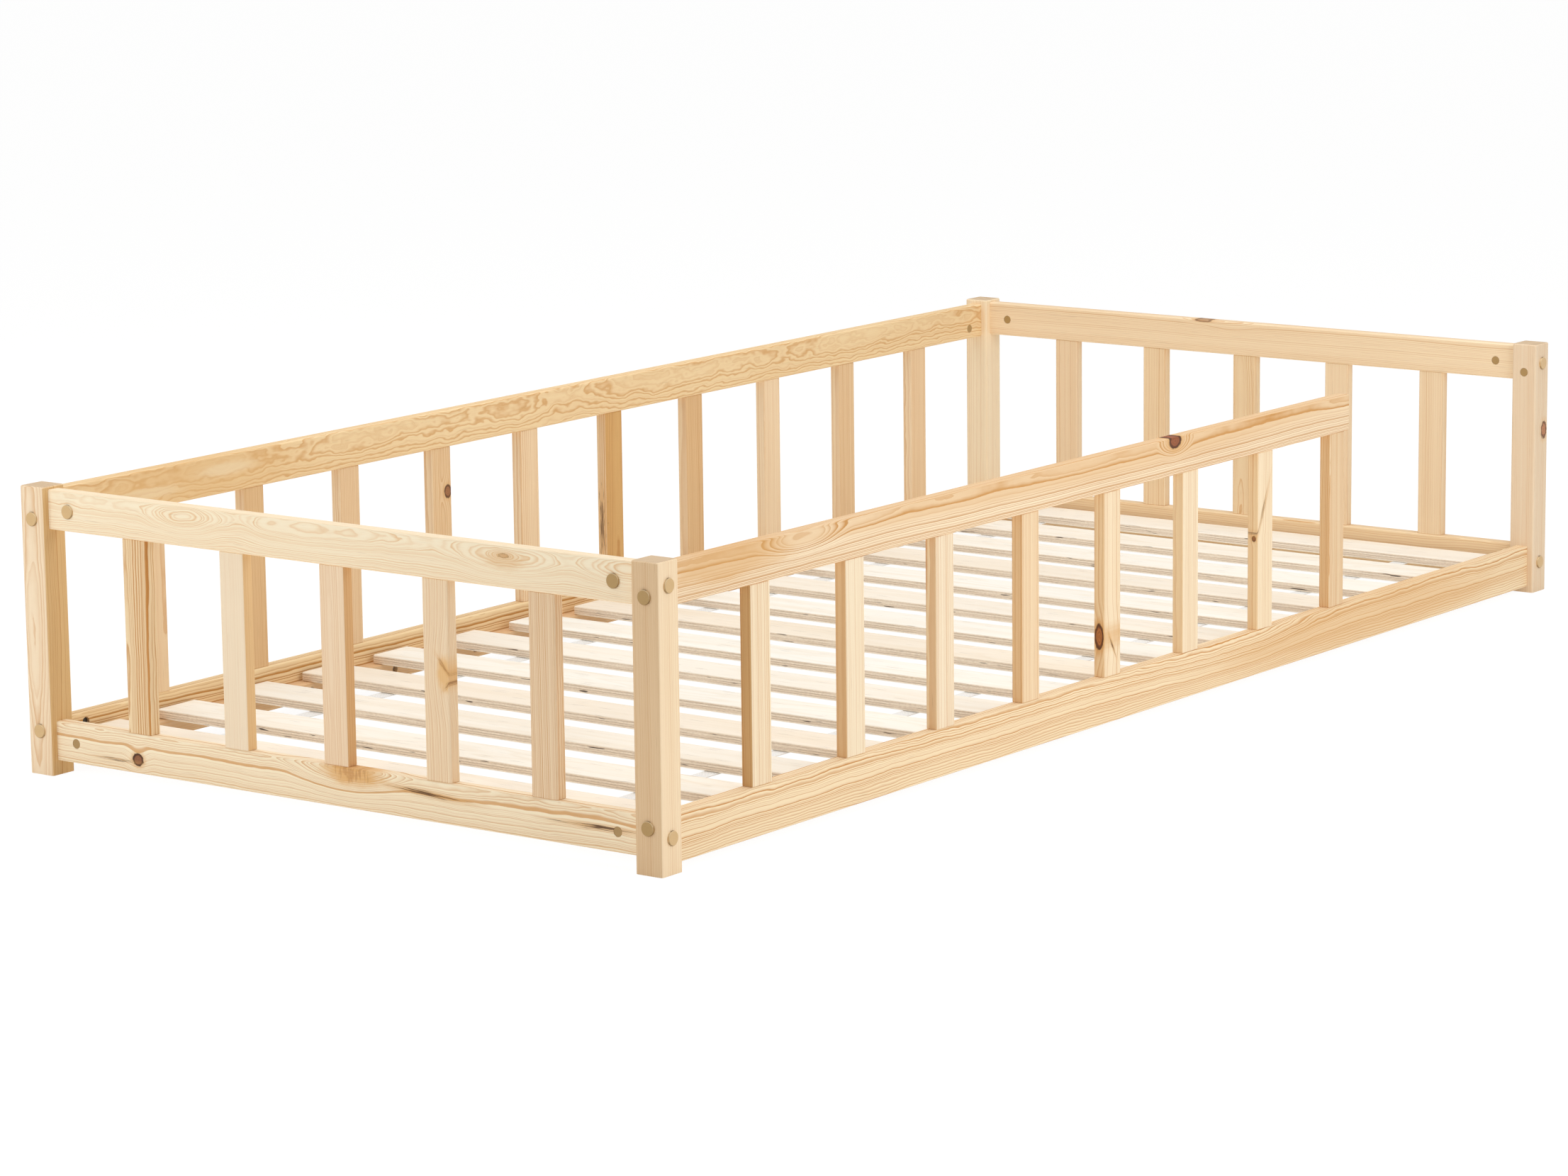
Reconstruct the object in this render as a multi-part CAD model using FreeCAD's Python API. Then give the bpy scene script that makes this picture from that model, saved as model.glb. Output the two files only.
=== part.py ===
import FreeCAD, Part
import os

# Toddler floor bed: a low knock-down frame of planed pine for a 900 x 2000 mm mattress.
# +X runs along the bed to the end beside the entry, -Y is the front with the entry gap, +Z is up.
# The origin is the middle of the footprint, on the floor. All lengths are millimetres.

# --- Mattress bay and posts ---
MATTRESS_LENGTH = 2000.0
MATTRESS_WIDTH = 900.0
MATTRESS_PLAY = 4.0            # what the clear space between the posts adds to the mattress
POST_SIZE = 38.0
POST_HEIGHT = 358.0
POST_EDGE = 3.0                # radius of the post's long edges
POST_TOP_EDGE = 1.2            # chamfer round the post's top

# --- Rails ---
RAIL_THICKNESS = 19.0
RAIL_HEIGHT = 49.0
SIDE_SKIRT_HEIGHT = 59.0       # height of the two long bottom rails
RAIL_EDGE = 2.5                # radius of a rail's long edges
FREE_END_EDGE = 2.0            # radius round the front top rail's free end
BOTTOM_RAIL_TOP = 67.0         # height of all bottom rails' upper faces
SIDE_RAIL_DROP = 6.0           # from the post's top down to the long top rails
END_RAIL_DROP = 3.5            # from the post's top down to the end top rails
ENTRY_GAP = 509.0              # opening between the front top rail's free end and the post

# --- Balusters ---
BALUSTER_WIDTH = 38.0
BALUSTER_THICKNESS = 16.0
BALUSTER_EDGE = 2.0            # radius of the long edges
BALUSTER_END_EDGE = 0.7        # chamfer round each end
FRONT_BALUSTERS = 8
BACK_BALUSTERS = 10
END_BALUSTERS = 5
FREE_END_OVERHANG = 10.0       # the front top rail's end past its last baluster

# --- Ledgers that carry the slats ---
LEDGER_DEPTH = 24.0
LEDGER_HEIGHT = 20.0
LEDGER_DROP = 29.0             # from the bottom rails' upper faces down to the ledger's top
LEDGER_END_PLAY = 2.0
LEDGER_EDGE = 1.0
LEDGER_SCREWS = 12             # in each ledger
LEDGER_SCREW_MARGIN = 91.0     # from the ledger's end to its first screw

# --- Slatted base ---
SLAT_COUNT = 15
SLAT_WIDTH = 70.0
SLAT_THICKNESS = 12.0
SLAT_EDGE = 2.5                # radius of a slat's long edges
SLAT_END_PLAY = 11.5           # from a slat's end to the side rail, with the slat in the middle
SLAT_SHIFTS = (3.0, 4.0, 5.0, 5.5, 2.5, -0.5, -3.5, -7.5,
               -6.0, -3.0, 1.0, 3.0, 4.0, 2.0, 0.0)   # how far each slat lies towards the back
SLATS_LEFT_PLAY = 15.0         # from the left posts' plane to the first slat
SLATS_RIGHT_PLAY = 1.0         # from the last slat to the right posts' plane
BAND_WIDTH = 22.0
BAND_THICKNESS = 1.2
BAND_INSET = 138.0             # from the slats' ends to a band's centre line
BAND_END_INSET = 15.0          # from the outer slat's edge to a band's end
STAPLE_SPAN = 10.0
STAPLE_WIRE = 0.8
STAPLE_DEPTH = 7.0             # how far the legs go into a slat

# --- Bolts, barrel nuts and dowels at the rail ends ---
BOLT_DIAMETER = 6.0
BOLT_HOLE = 6.6
BOLT_TAIL = 10.0               # length past the barrel nut's axis
BOLT_CROSSING = 12.0           # height between the two bolts that cross in a post
HEAD_DIAMETER = 11.0
HEAD_HEIGHT = 4.5
HEAD_SEAT = 10.0               # depth of the head's seat below the post's face
HEX_KEY = 5.0                  # across the flats
HEX_DEPTH = 3.0
MOUTH_DIAMETER = 12.2          # counterbores over bolt heads and barrel nuts
MOUTH_DEPTH = 3.5              # from a rail's face to its barrel nut
NUT_DIAMETER = 12.0
NUT_FROM_POST = 32.0
DOWEL_DIAMETER = 8.0
DOWEL_LENGTH = 30.0
DOWEL_OFFSET = 16.0            # height between a rail's bolt and its dowel
DOWEL_TO_BOLT = 2.7            # wood left between a dowel's end and the crossing bolt's hole
PIN_DIAMETER = 6.0             # dowels in the balusters' ends
PIN_LENGTH = 30.0
END_ROOM = 1.0                 # empty depth past the end of a dowel, pin, bolt or screw
FIT = 0.1                      # running room round what sits in a hole, on the diameter

# --- Cover caps, plugs and screws ---
CAP_DIAMETER = 17.5
CAP_HEIGHT = 2.4
CAP_RIM = 1.1
CAP_STEM_LENGTH = 3.0
PLUG_THICKNESS = 3.0
PLUG_EDGE = 0.4
SCREW_DIAMETER = 4.0
SCREW_HEAD = 8.0
SCREW_HEAD_HEIGHT = 2.4
SCREW_MOUTH = 10.0             # counterbore in the ledger
SCREW_MOUTH_DEPTH = 8.0
SCREW_BITE = 14.0              # how far a screw goes into the rail
CROSS_SLOT = (4.4, 1.0, 1.4)   # length, width and depth of a screw's cross slot

# --- Worked out from the sizes above ---
CLEAR_LENGTH = MATTRESS_LENGTH + MATTRESS_PLAY
CLEAR_WIDTH = MATTRESS_WIDTH + MATTRESS_PLAY
POST_X = (CLEAR_LENGTH + POST_SIZE) / 2
POST_Y = (CLEAR_WIDTH + POST_SIZE) / 2
SIDE_TOP = POST_HEIGHT - SIDE_RAIL_DROP
END_TOP = POST_HEIGHT - END_RAIL_DROP
END_BOLT_HIGH = END_TOP - RAIL_HEIGHT / 2
END_BOLT_LOW = BOTTOM_RAIL_TOP - RAIL_HEIGHT / 2
SIDE_BOLT_HIGH = END_BOLT_HIGH - BOLT_CROSSING
SIDE_BOLT_LOW = END_BOLT_LOW + BOLT_CROSSING
RAIL_INNER_Y = POST_Y - RAIL_THICKNESS / 2
FRONT_RAIL_LENGTH = CLEAR_LENGTH - ENTRY_GAP
LEDGER_TOP = BOTTOM_RAIL_TOP - LEDGER_DROP
SLAT_TOP = LEDGER_TOP + SLAT_THICKNESS
SLAT_LENGTH = 2 * (RAIL_INNER_Y - SLAT_END_PLAY)
SLATS_START = -CLEAR_LENGTH / 2 + SLATS_LEFT_PLAY
SLATS_END = CLEAR_LENGTH / 2 - SLATS_RIGHT_PLAY
SLAT_PITCH = (SLATS_END - SLATS_START - SLAT_WIDTH) / (SLAT_COUNT - 1)
BAND_Y = SLAT_LENGTH / 2 - BAND_INSET
DOWEL_IN_POST = (POST_SIZE - BOLT_HOLE) / 2 - DOWEL_TO_BOLT
NUT_LENGTH = RAIL_THICKNESS - 2 * MOUTH_DEPTH
LEDGER_LENGTH = CLEAR_LENGTH - 2 * LEDGER_END_PLAY
LEDGER_Y = RAIL_INNER_Y - LEDGER_DEPTH / 2

V = FreeCAD.Vector
X, Y, Z = V(1, 0, 0), V(0, 1, 0), V(0, 0, 1)


# --- Shapes ---
def block(low, high):
    """A box between two opposite corners."""
    size = high - low
    return Part.makeBox(size.x, size.y, size.z, low)


def rod(start, direction, diameter, length):
    """A round bar that starts at a point and runs along a direction."""
    return Part.makeCylinder(diameter / 2, length, start, direction)


def edges_along(shape, direction):
    """The straight edges of a box that run along a direction."""
    found = []
    for edge in shape.Edges:
        run = edge.Vertexes[1].Point - edge.Vertexes[0].Point
        if abs(run.dot(direction)) > 0.999 * run.Length:
            found.append(edge)
    return found


def end_edges(shape, direction, place):
    """The edges that lie in the plane at a place along a direction."""
    return [edge for edge in shape.Edges
            if all(abs(corner.Point.dot(direction) - place) < 1e-6 for corner in edge.Vertexes)]


def bar(low, high, direction, radius):
    """A box with its edges along one direction rounded."""
    box = block(low, high)
    return box.makeFillet(radius, edges_along(box, direction))


def export(name, solids):
    """Write one sub-part, which is one solid or a group of separate ones."""
    shape = solids[0] if len(solids) == 1 else Part.makeCompound(solids)
    shape.exportStep("parts/" + name + ".step")


# --- Where the rails meet the posts ---
def rail_end(along, face, x, y, bolt_z, dowel_z):
    """One rail end: `along` points from the post into the rail, `face` out of the rail's drilled face."""
    return {"along": along, "face": face, "at": V(x, y, bolt_z), "dowel_z": dowel_z}


def side_joint(x_sign, y_sign, high):
    """The end of a long rail; its barrel nut goes in from the inside of the bed."""
    bolt_z = SIDE_BOLT_HIGH if high else SIDE_BOLT_LOW
    dowel_z = bolt_z + (DOWEL_OFFSET if high else -DOWEL_OFFSET)
    return rail_end(X * -x_sign, Y * -y_sign, x_sign * CLEAR_LENGTH / 2, y_sign * POST_Y, bolt_z, dowel_z)


def end_joint(x_sign, y_sign, high):
    """The end of a short rail; both end panels are alike, so its barrel nut goes in from the left."""
    bolt_z = END_BOLT_HIGH if high else END_BOLT_LOW
    dowel_z = bolt_z + (DOWEL_OFFSET if high else -DOWEL_OFFSET)
    return rail_end(Y * -y_sign, X * -1, x_sign * POST_X, y_sign * CLEAR_WIDTH / 2, bolt_z, dowel_z)


def bolt_head_face(joint):
    """The point on the post's outer face over a joint's bolt."""
    return joint["at"] - joint["along"] * POST_SIZE


def nut_mouth(joint):
    """The point on the rail's drilled face over a joint's barrel nut."""
    return joint["at"] + joint["along"] * NUT_FROM_POST + joint["face"] * (RAIL_THICKNESS / 2)


def dowel_start(joint):
    """The end of a joint's dowel inside the post."""
    centre = V(joint["at"].x, joint["at"].y, joint["dowel_z"])
    return centre - joint["along"] * DOWEL_IN_POST


def post_cuts(joint):
    """What one rail end needs drilled in its post."""
    along = joint["along"]
    start = dowel_start(joint) - along * END_ROOM
    return bolt_hole_cuts(joint) + [rod(start, along, DOWEL_DIAMETER + FIT, DOWEL_IN_POST + END_ROOM)]


def bolt_hole_cuts(joint):
    """A post's bolt hole and the counterbore for the bolt's head."""
    outer = bolt_head_face(joint)
    along = joint["along"]
    return [rod(outer, along, BOLT_HOLE, POST_SIZE), rod(outer, along, MOUTH_DIAMETER, HEAD_SEAT)]


def rail_cuts(joint):
    """What one rail end needs drilled in the rail."""
    along = joint["along"]
    face = joint["face"]
    bolt = rod(joint["at"], along, BOLT_HOLE, NUT_FROM_POST + BOLT_TAIL + END_ROOM)
    nut = rod(nut_mouth(joint), face * -1, MOUTH_DIAMETER, MOUTH_DEPTH + NUT_LENGTH + FIT)
    dowel = rod(V(joint["at"].x, joint["at"].y, joint["dowel_z"]), along,
                DOWEL_DIAMETER + FIT, DOWEL_LENGTH - DOWEL_IN_POST + END_ROOM)
    return [bolt, nut, dowel]


# --- Posts ---
def post(x_sign, y_sign, joints, spare_hole):
    """A square post with rounded long edges, drilled for the four rails that meet there."""
    centre = V(x_sign * POST_X, y_sign * POST_Y, 0)
    half = V(POST_SIZE / 2, POST_SIZE / 2, 0)
    body = bar(centre - half, centre + half + Z * POST_HEIGHT, Z, POST_EDGE)
    body = body.makeChamfer(POST_TOP_EDGE, end_edges(body, Z, POST_HEIGHT))
    cuts = []
    for joint in joints:
        if joint is spare_hole:
            cuts += bolt_hole_cuts(joint)
            cuts.append(rod(joint["at"], joint["along"] * -1, MOUTH_DIAMETER, MOUTH_DEPTH))
        else:
            cuts += post_cuts(joint)
    return body.cut(cuts)


# --- Rails ---
def side_rail(y_sign, top, height, length, joints, baluster_xs, pins_up, pilot_xs):
    """A long rail that starts at the left post, with its end joints, baluster pins and screw pilots."""
    start = -CLEAR_LENGTH / 2
    low = V(start, y_sign * POST_Y - RAIL_THICKNESS / 2, top - height)
    high = V(start + length, y_sign * POST_Y + RAIL_THICKNESS / 2, top)
    body = bar(low, high, X, RAIL_EDGE)
    if length < CLEAR_LENGTH:
        body = body.makeFillet(FREE_END_EDGE, end_edges(body, X, start + length))
    cuts = [cut for joint in joints for cut in rail_cuts(joint)]
    for x in baluster_xs:
        cuts.append(pin_hole(x, y_sign * POST_Y, top - height if not pins_up else top, not pins_up))
    for x in pilot_xs:
        inner = V(x, y_sign * RAIL_INNER_Y, LEDGER_TOP - LEDGER_HEIGHT / 2)
        cuts.append(rod(inner, Y * y_sign, SCREW_DIAMETER + FIT, SCREW_BITE + END_ROOM))
    return body.cut(cuts)


def end_rail(x_sign, top, joints, baluster_ys, pins_up):
    """A short rail between two posts, with its end joints and baluster pins."""
    low = V(x_sign * POST_X - RAIL_THICKNESS / 2, -CLEAR_WIDTH / 2, top - RAIL_HEIGHT)
    high = V(x_sign * POST_X + RAIL_THICKNESS / 2, CLEAR_WIDTH / 2, top)
    body = bar(low, high, Y, RAIL_EDGE)
    cuts = [cut for joint in joints for cut in rail_cuts(joint)]
    for y in baluster_ys:
        cuts.append(pin_hole(x_sign * POST_X, y, top if pins_up else top - RAIL_HEIGHT, not pins_up))
    return body.cut(cuts)


def pin_hole(x, y, z, upwards):
    """A hole for half a baluster's pin, bored up or down from a height."""
    return rod(V(x, y, z), Z if upwards else Z * -1, PIN_DIAMETER + FIT, PIN_LENGTH / 2 + END_ROOM)


# --- Balusters ---
def spread(start, end, count):
    """Centres of balusters set with equal gaps between two posts."""
    gap = (end - start - count * BALUSTER_WIDTH) / (count + 1)
    return [start + gap + BALUSTER_WIDTH / 2 + i * (BALUSTER_WIDTH + gap) for i in range(count)]


def spread_to_free_end(start, end, count):
    """Centres of balusters with equal gaps, the last of them a little short of a rail's free end."""
    gap = (end - start - FREE_END_OVERHANG - count * BALUSTER_WIDTH) / count
    return [start + gap + BALUSTER_WIDTH / 2 + i * (BALUSTER_WIDTH + gap) for i in range(count)]


def baluster(x, y, top, along_x):
    """An upright flat bar from the bottom rail to the top rail, with a pin hole in each end."""
    half = V(BALUSTER_WIDTH / 2, BALUSTER_THICKNESS / 2, 0)
    if not along_x:
        half = V(half.y, half.x, 0)
    body = bar(V(x, y, BOTTOM_RAIL_TOP) - half, V(x, y, top) + half, Z, BALUSTER_EDGE)
    for place in (BOTTOM_RAIL_TOP, top):
        body = body.makeChamfer(BALUSTER_END_EDGE, end_edges(body, Z, place))
    return body.cut([pin_hole(x, y, BOTTOM_RAIL_TOP, True), pin_hole(x, y, top, False)])


def baluster_pins(x, y, top):
    """The dowel pins at a baluster's foot and head."""
    return [rod(V(x, y, z - PIN_LENGTH / 2), Z, PIN_DIAMETER, PIN_LENGTH) for z in (BOTTOM_RAIL_TOP, top)]


# --- Ledgers and their screws ---
def ledger_screw_xs():
    first = -LEDGER_LENGTH / 2 + LEDGER_SCREW_MARGIN
    pitch = (LEDGER_LENGTH - 2 * LEDGER_SCREW_MARGIN) / (LEDGER_SCREWS - 1)
    return [first + i * pitch for i in range(LEDGER_SCREWS)]


def ledger(y_sign):
    """A strip along the inside of a long bottom rail, with counterbored screw holes."""
    low = V(-LEDGER_LENGTH / 2, y_sign * LEDGER_Y - LEDGER_DEPTH / 2, LEDGER_TOP - LEDGER_HEIGHT)
    body = bar(low, low + V(LEDGER_LENGTH, LEDGER_DEPTH, LEDGER_HEIGHT), X, LEDGER_EDGE)
    cuts = []
    for x in ledger_screw_xs():
        inner = V(x, y_sign * (RAIL_INNER_Y - LEDGER_DEPTH), LEDGER_TOP - LEDGER_HEIGHT / 2)
        cuts.append(rod(inner, Y * y_sign, SCREW_MOUTH, SCREW_MOUTH_DEPTH))
        cuts.append(rod(inner, Y * y_sign, SCREW_DIAMETER + FIT, LEDGER_DEPTH))
    return body.cut(cuts)


def ledger_screw(x, y_sign):
    """A cross-slot screw with a flat head, from the ledger's counterbore into the rail."""
    into = Y * y_sign
    seat = V(x, y_sign * (RAIL_INNER_Y - LEDGER_DEPTH + SCREW_MOUTH_DEPTH), LEDGER_TOP - LEDGER_HEIGHT / 2)
    shank_length = LEDGER_DEPTH - SCREW_MOUTH_DEPTH + SCREW_BITE
    tip_length = 2 * SCREW_DIAMETER
    head = rod(seat - into * SCREW_HEAD_HEIGHT, into, SCREW_HEAD, SCREW_HEAD_HEIGHT)
    shank = rod(seat, into, SCREW_DIAMETER, shank_length - tip_length)
    tip = Part.makeCone(SCREW_DIAMETER / 2, SCREW_DIAMETER / 16, tip_length,
                        seat + into * (shank_length - tip_length), into)
    length, width, depth = CROSS_SLOT
    face = seat - into * SCREW_HEAD_HEIGHT
    middle = face + into * (depth / 2)
    slots = [block(middle - V(a, depth / 2, b), middle + V(a, depth / 2, b))
             for a, b in ((length / 2, width / 2), (width / 2, length / 2))]
    return head.fuse([shank, tip]).removeSplitter().cut(slots)


# --- Slatted base ---
def slat_centres():
    return [SLATS_START + SLAT_WIDTH / 2 + i * SLAT_PITCH for i in range(SLAT_COUNT)]


def staple(x, y):
    """One staple, crown under the band and legs up into the slat."""
    crown_top = LEDGER_TOP - BAND_THICKNESS
    wire = STAPLE_WIRE / 2
    crown = block(V(x - wire, y - STAPLE_SPAN / 2, crown_top - STAPLE_WIRE),
                  V(x + wire, y + STAPLE_SPAN / 2, crown_top))
    legs = staple_legs(x, y, 0.0)
    return crown.fuse(legs).removeSplitter()


def staple_legs(x, y, room):
    """The two legs of a staple, or the slots that they make, wider by some room."""
    half = STAPLE_WIRE / 2 + room / 2
    low = LEDGER_TOP - BAND_THICKNESS
    high = LEDGER_TOP + STAPLE_DEPTH + room
    legs = []
    for side in (-1, 1):
        leg_y = y + side * (STAPLE_SPAN - STAPLE_WIRE) / 2
        legs.append(block(V(x - half, leg_y - half, low), V(x + half, leg_y + half, high)))
    return legs


def slat(x, shift):
    """A plywood slat with rounded long edges, resting on both ledgers."""
    low = V(x - SLAT_WIDTH / 2, shift - SLAT_LENGTH / 2, LEDGER_TOP)
    body = bar(low, low + V(SLAT_WIDTH, SLAT_LENGTH, SLAT_THICKNESS), Y, SLAT_EDGE)
    return body.cut([leg for side in (-1, 1) for leg in staple_legs(x, side * BAND_Y, FIT)])


def webbing_band(y):
    """A woven band that holds the slats at their spacing."""
    low = V(SLATS_START + BAND_END_INSET, y - BAND_WIDTH / 2, LEDGER_TOP - BAND_THICKNESS)
    high = V(SLATS_END - BAND_END_INSET, y + BAND_WIDTH / 2, LEDGER_TOP)
    slots = [leg for x in slat_centres() for leg in staple_legs(x, y, FIT)]
    return block(low, high).cut(slots)


# --- Fasteners at the rail ends ---
def bolt(joint):
    """A socket-head bolt from its seat in the post through the barrel nut."""
    along = joint["along"]
    seat = bolt_head_face(joint) + along * HEAD_SEAT
    length = POST_SIZE - HEAD_SEAT + NUT_FROM_POST + BOLT_TAIL
    head_top = seat - along * HEAD_HEIGHT
    head = rod(head_top, along, HEAD_DIAMETER, HEAD_HEIGHT)
    across = joint["face"]
    upright = along.cross(across)
    corner = HEX_KEY / 3 ** 0.5
    points = [head_top + across * (corner * c) + upright * (corner * s)
              for c, s in ((1, 0), (0.5, 0.75 ** 0.5), (-0.5, 0.75 ** 0.5),
                           (-1, 0), (-0.5, -0.75 ** 0.5), (0.5, -0.75 ** 0.5), (1, 0))]
    socket = Part.Face(Part.makePolygon(points)).extrude(along * HEX_DEPTH)
    return head.fuse(rod(seat, along, BOLT_DIAMETER, length)).removeSplitter().cut(socket)


def barrel_nut(joint):
    """A cross dowel that the bolt screws into."""
    start = nut_mouth(joint) - joint["face"] * MOUTH_DEPTH
    body = rod(start, joint["face"] * -1, NUT_DIAMETER, NUT_LENGTH)
    across = joint["at"] + joint["along"] * (NUT_FROM_POST - NUT_DIAMETER / 2)
    return body.cut(rod(across, joint["along"], BOLT_DIAMETER + FIT, NUT_DIAMETER))


def cover_cap(point, outwards):
    """A round cap with a rounded rim, its stem in the counterbore."""
    disc = rod(point, outwards, CAP_DIAMETER, CAP_HEIGHT)
    top = point.dot(outwards) + CAP_HEIGHT
    disc = disc.makeFillet(CAP_RIM, end_edges(disc, outwards, top))
    stem = rod(point, outwards * -1, MOUTH_DIAMETER - 2 * FIT, CAP_STEM_LENGTH)
    return disc.fuse(stem)


def flush_plug(point, outwards):
    """A round plug, level with the wood's face."""
    plug = rod(point - outwards * PLUG_THICKNESS, outwards, MOUTH_DIAMETER - 2 * FIT, PLUG_THICKNESS)
    return plug.makeChamfer(PLUG_EDGE, end_edges(plug, outwards, point.dot(outwards)))


# --- The bed ---
def build():
    corners = {"front_left": (-1, -1), "front_right": (1, -1), "back_left": (-1, 1), "back_right": (1, 1)}
    places = [(x, y, high) for x in (-1, 1) for y in (-1, 1) for high in (True, False)]
    side_joints = {place: side_joint(*place) for place in places}
    end_joints = {place: end_joint(*place) for place in places}
    spare = side_joints[(1, -1, True)]
    used_joints = [joint for joint in side_joints.values() if joint is not spare] + list(end_joints.values())

    for name, (x, y) in corners.items():
        joints = [table[(x, y, high)] for table in (side_joints, end_joints) for high in (True, False)]
        export("post_" + name, [post(x, y, joints, spare)])

    left, right = -CLEAR_LENGTH / 2, CLEAR_LENGTH / 2
    front_xs = spread_to_free_end(left, left + FRONT_RAIL_LENGTH, FRONT_BALUSTERS)
    back_xs = spread(left, right, BACK_BALUSTERS)
    end_ys = spread(-CLEAR_WIDTH / 2, CLEAR_WIDTH / 2, END_BALUSTERS)
    screw_xs = ledger_screw_xs()
    side_under = SIDE_TOP - RAIL_HEIGHT
    end_under = END_TOP - RAIL_HEIGHT

    sides = (("front", -1, front_xs, FRONT_RAIL_LENGTH), ("back", 1, back_xs, CLEAR_LENGTH))
    for name, y, xs, length in sides:
        top_joints = [side_joints[(x, y, True)] for x in (-1, 1) if side_joints[(x, y, True)] is not spare]
        low_joints = [side_joints[(x, y, False)] for x in (-1, 1)]
        top_rail = side_rail(y, SIDE_TOP, RAIL_HEIGHT, length, top_joints, xs, False, [])
        bottom_rail = side_rail(y, BOTTOM_RAIL_TOP, SIDE_SKIRT_HEIGHT, CLEAR_LENGTH,
                                low_joints, xs, True, screw_xs)
        export(name + "_top_rail", [top_rail])
        export(name + "_bottom_rail", [bottom_rail])
        export(name + "_ledger", [ledger(y)])

    for name, x in (("left", -1), ("right", 1)):
        for level, top, pins_up in (("top", END_TOP, False), ("bottom", BOTTOM_RAIL_TOP, True)):
            joints = [end_joints[(x, y, level == "top")] for y in (-1, 1)]
            export(name + "_" + level + "_rail", [end_rail(x, top, joints, end_ys, pins_up)])
        for number, y in enumerate(end_ys, 1):
            export("%s_baluster_%d" % (name, number), [baluster(x * POST_X, y, end_under, False)])

    for number, x in enumerate(front_xs, 1):
        export("front_baluster_%d" % number, [baluster(x, -POST_Y, side_under, True)])
    export("back_balusters", [baluster(x, POST_Y, side_under, True) for x in back_xs])

    pins = []
    for x in front_xs:
        pins += baluster_pins(x, -POST_Y, side_under)
    for x in back_xs:
        pins += baluster_pins(x, POST_Y, side_under)
    for y in end_ys:
        for x in (-POST_X, POST_X):
            pins += baluster_pins(x, y, end_under)
    export("baluster_pins", pins)

    for number, (x, shift) in enumerate(zip(slat_centres(), SLAT_SHIFTS), 1):
        export("slat_%02d" % number, [slat(x, shift)])
    for name, y in (("front", -BAND_Y), ("back", BAND_Y)):
        export(name + "_webbing_band", [webbing_band(y)])
    export("webbing_staples", [staple(x, y) for x in slat_centres() for y in (-BAND_Y, BAND_Y)])

    export("ledger_screws", [ledger_screw(x, y) for y in (-1, 1) for x in screw_xs])
    export("frame_bolts", [bolt(joint) for joint in used_joints])
    export("barrel_nuts", [barrel_nut(joint) for joint in used_joints])
    export("rail_dowels", [rod(dowel_start(joint), joint["along"], DOWEL_DIAMETER, DOWEL_LENGTH)
                           for joint in used_joints])

    # Raised caps cover every bolt hole and the left top rail's nuts. Flush plugs close the other
    # nut holes, except those low down inside the bed, which are left open.
    capped_nuts = [end_joints[(-1, y, True)] for y in (-1, 1)]
    open_nuts = [side_joints[(x, y, False)] for x in (-1, 1) for y in (-1, 1)]
    open_nuts += [end_joints[(1, y, False)] for y in (-1, 1)]
    caps = [cover_cap(bolt_head_face(joint), joint["along"] * -1) for joint in used_joints + [spare]]
    caps += [cover_cap(nut_mouth(joint), joint["face"]) for joint in capped_nuts]
    plugs = [flush_plug(nut_mouth(joint), joint["face"])
             for joint in used_joints if joint not in capped_nuts and joint not in open_nuts]
    plugs.append(flush_plug(spare["at"], spare["along"]))
    export("cover_caps", caps)
    export("flush_plugs", plugs)


os.makedirs("parts", exist_ok=True)
build()
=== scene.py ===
import math
from typing import NamedTuple

import bpy
from bpy.props import FloatProperty, FloatVectorProperty, PointerProperty
from bpy.types import Operator, Panel, PropertyGroup
from mathutils import Matrix, Vector


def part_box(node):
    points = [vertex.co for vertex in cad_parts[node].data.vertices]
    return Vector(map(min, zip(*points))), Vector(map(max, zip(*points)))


bl_info = {
    "name": "Toddler floor bed",
    "version": (1, 0, 0),
    "blender": (4, 5, 0),
    "location": "3D View > Sidebar > Floor Bed",
    "description": "Dresses a low pine bed: grained boards, plywood slats, webbing and caps",
    "category": "Object",
}

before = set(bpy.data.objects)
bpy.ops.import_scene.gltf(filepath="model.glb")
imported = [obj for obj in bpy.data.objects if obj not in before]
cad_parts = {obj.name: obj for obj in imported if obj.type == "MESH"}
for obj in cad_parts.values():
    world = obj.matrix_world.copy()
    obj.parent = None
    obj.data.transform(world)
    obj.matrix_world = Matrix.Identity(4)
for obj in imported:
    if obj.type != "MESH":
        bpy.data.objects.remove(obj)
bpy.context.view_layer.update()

MM = 0.001
AXES = "XYZ"


# --- Colours and settings ---
def srgb(red, green, blue):
    """A colour given as screen values from 0 to 255, in linear light."""
    def linear(value):
        value /= 255
        return value / 12.92 if value <= 0.04045 else ((value + 0.055) / 1.055) ** 2.4
    return (linear(red), linear(green), linear(blue), 1.0)


def shifted(colour, steps):
    """A linear colour moved by screen steps on each channel."""
    def screen(value):
        value = value * 12.92 if value <= 0.0031308 else 1.055 * value ** (1 / 2.4) - 0.055
        return value * 255
    return srgb(*(max(0.0, min(255.0, screen(value) + step)) for value, step in zip(colour, steps)))


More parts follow.
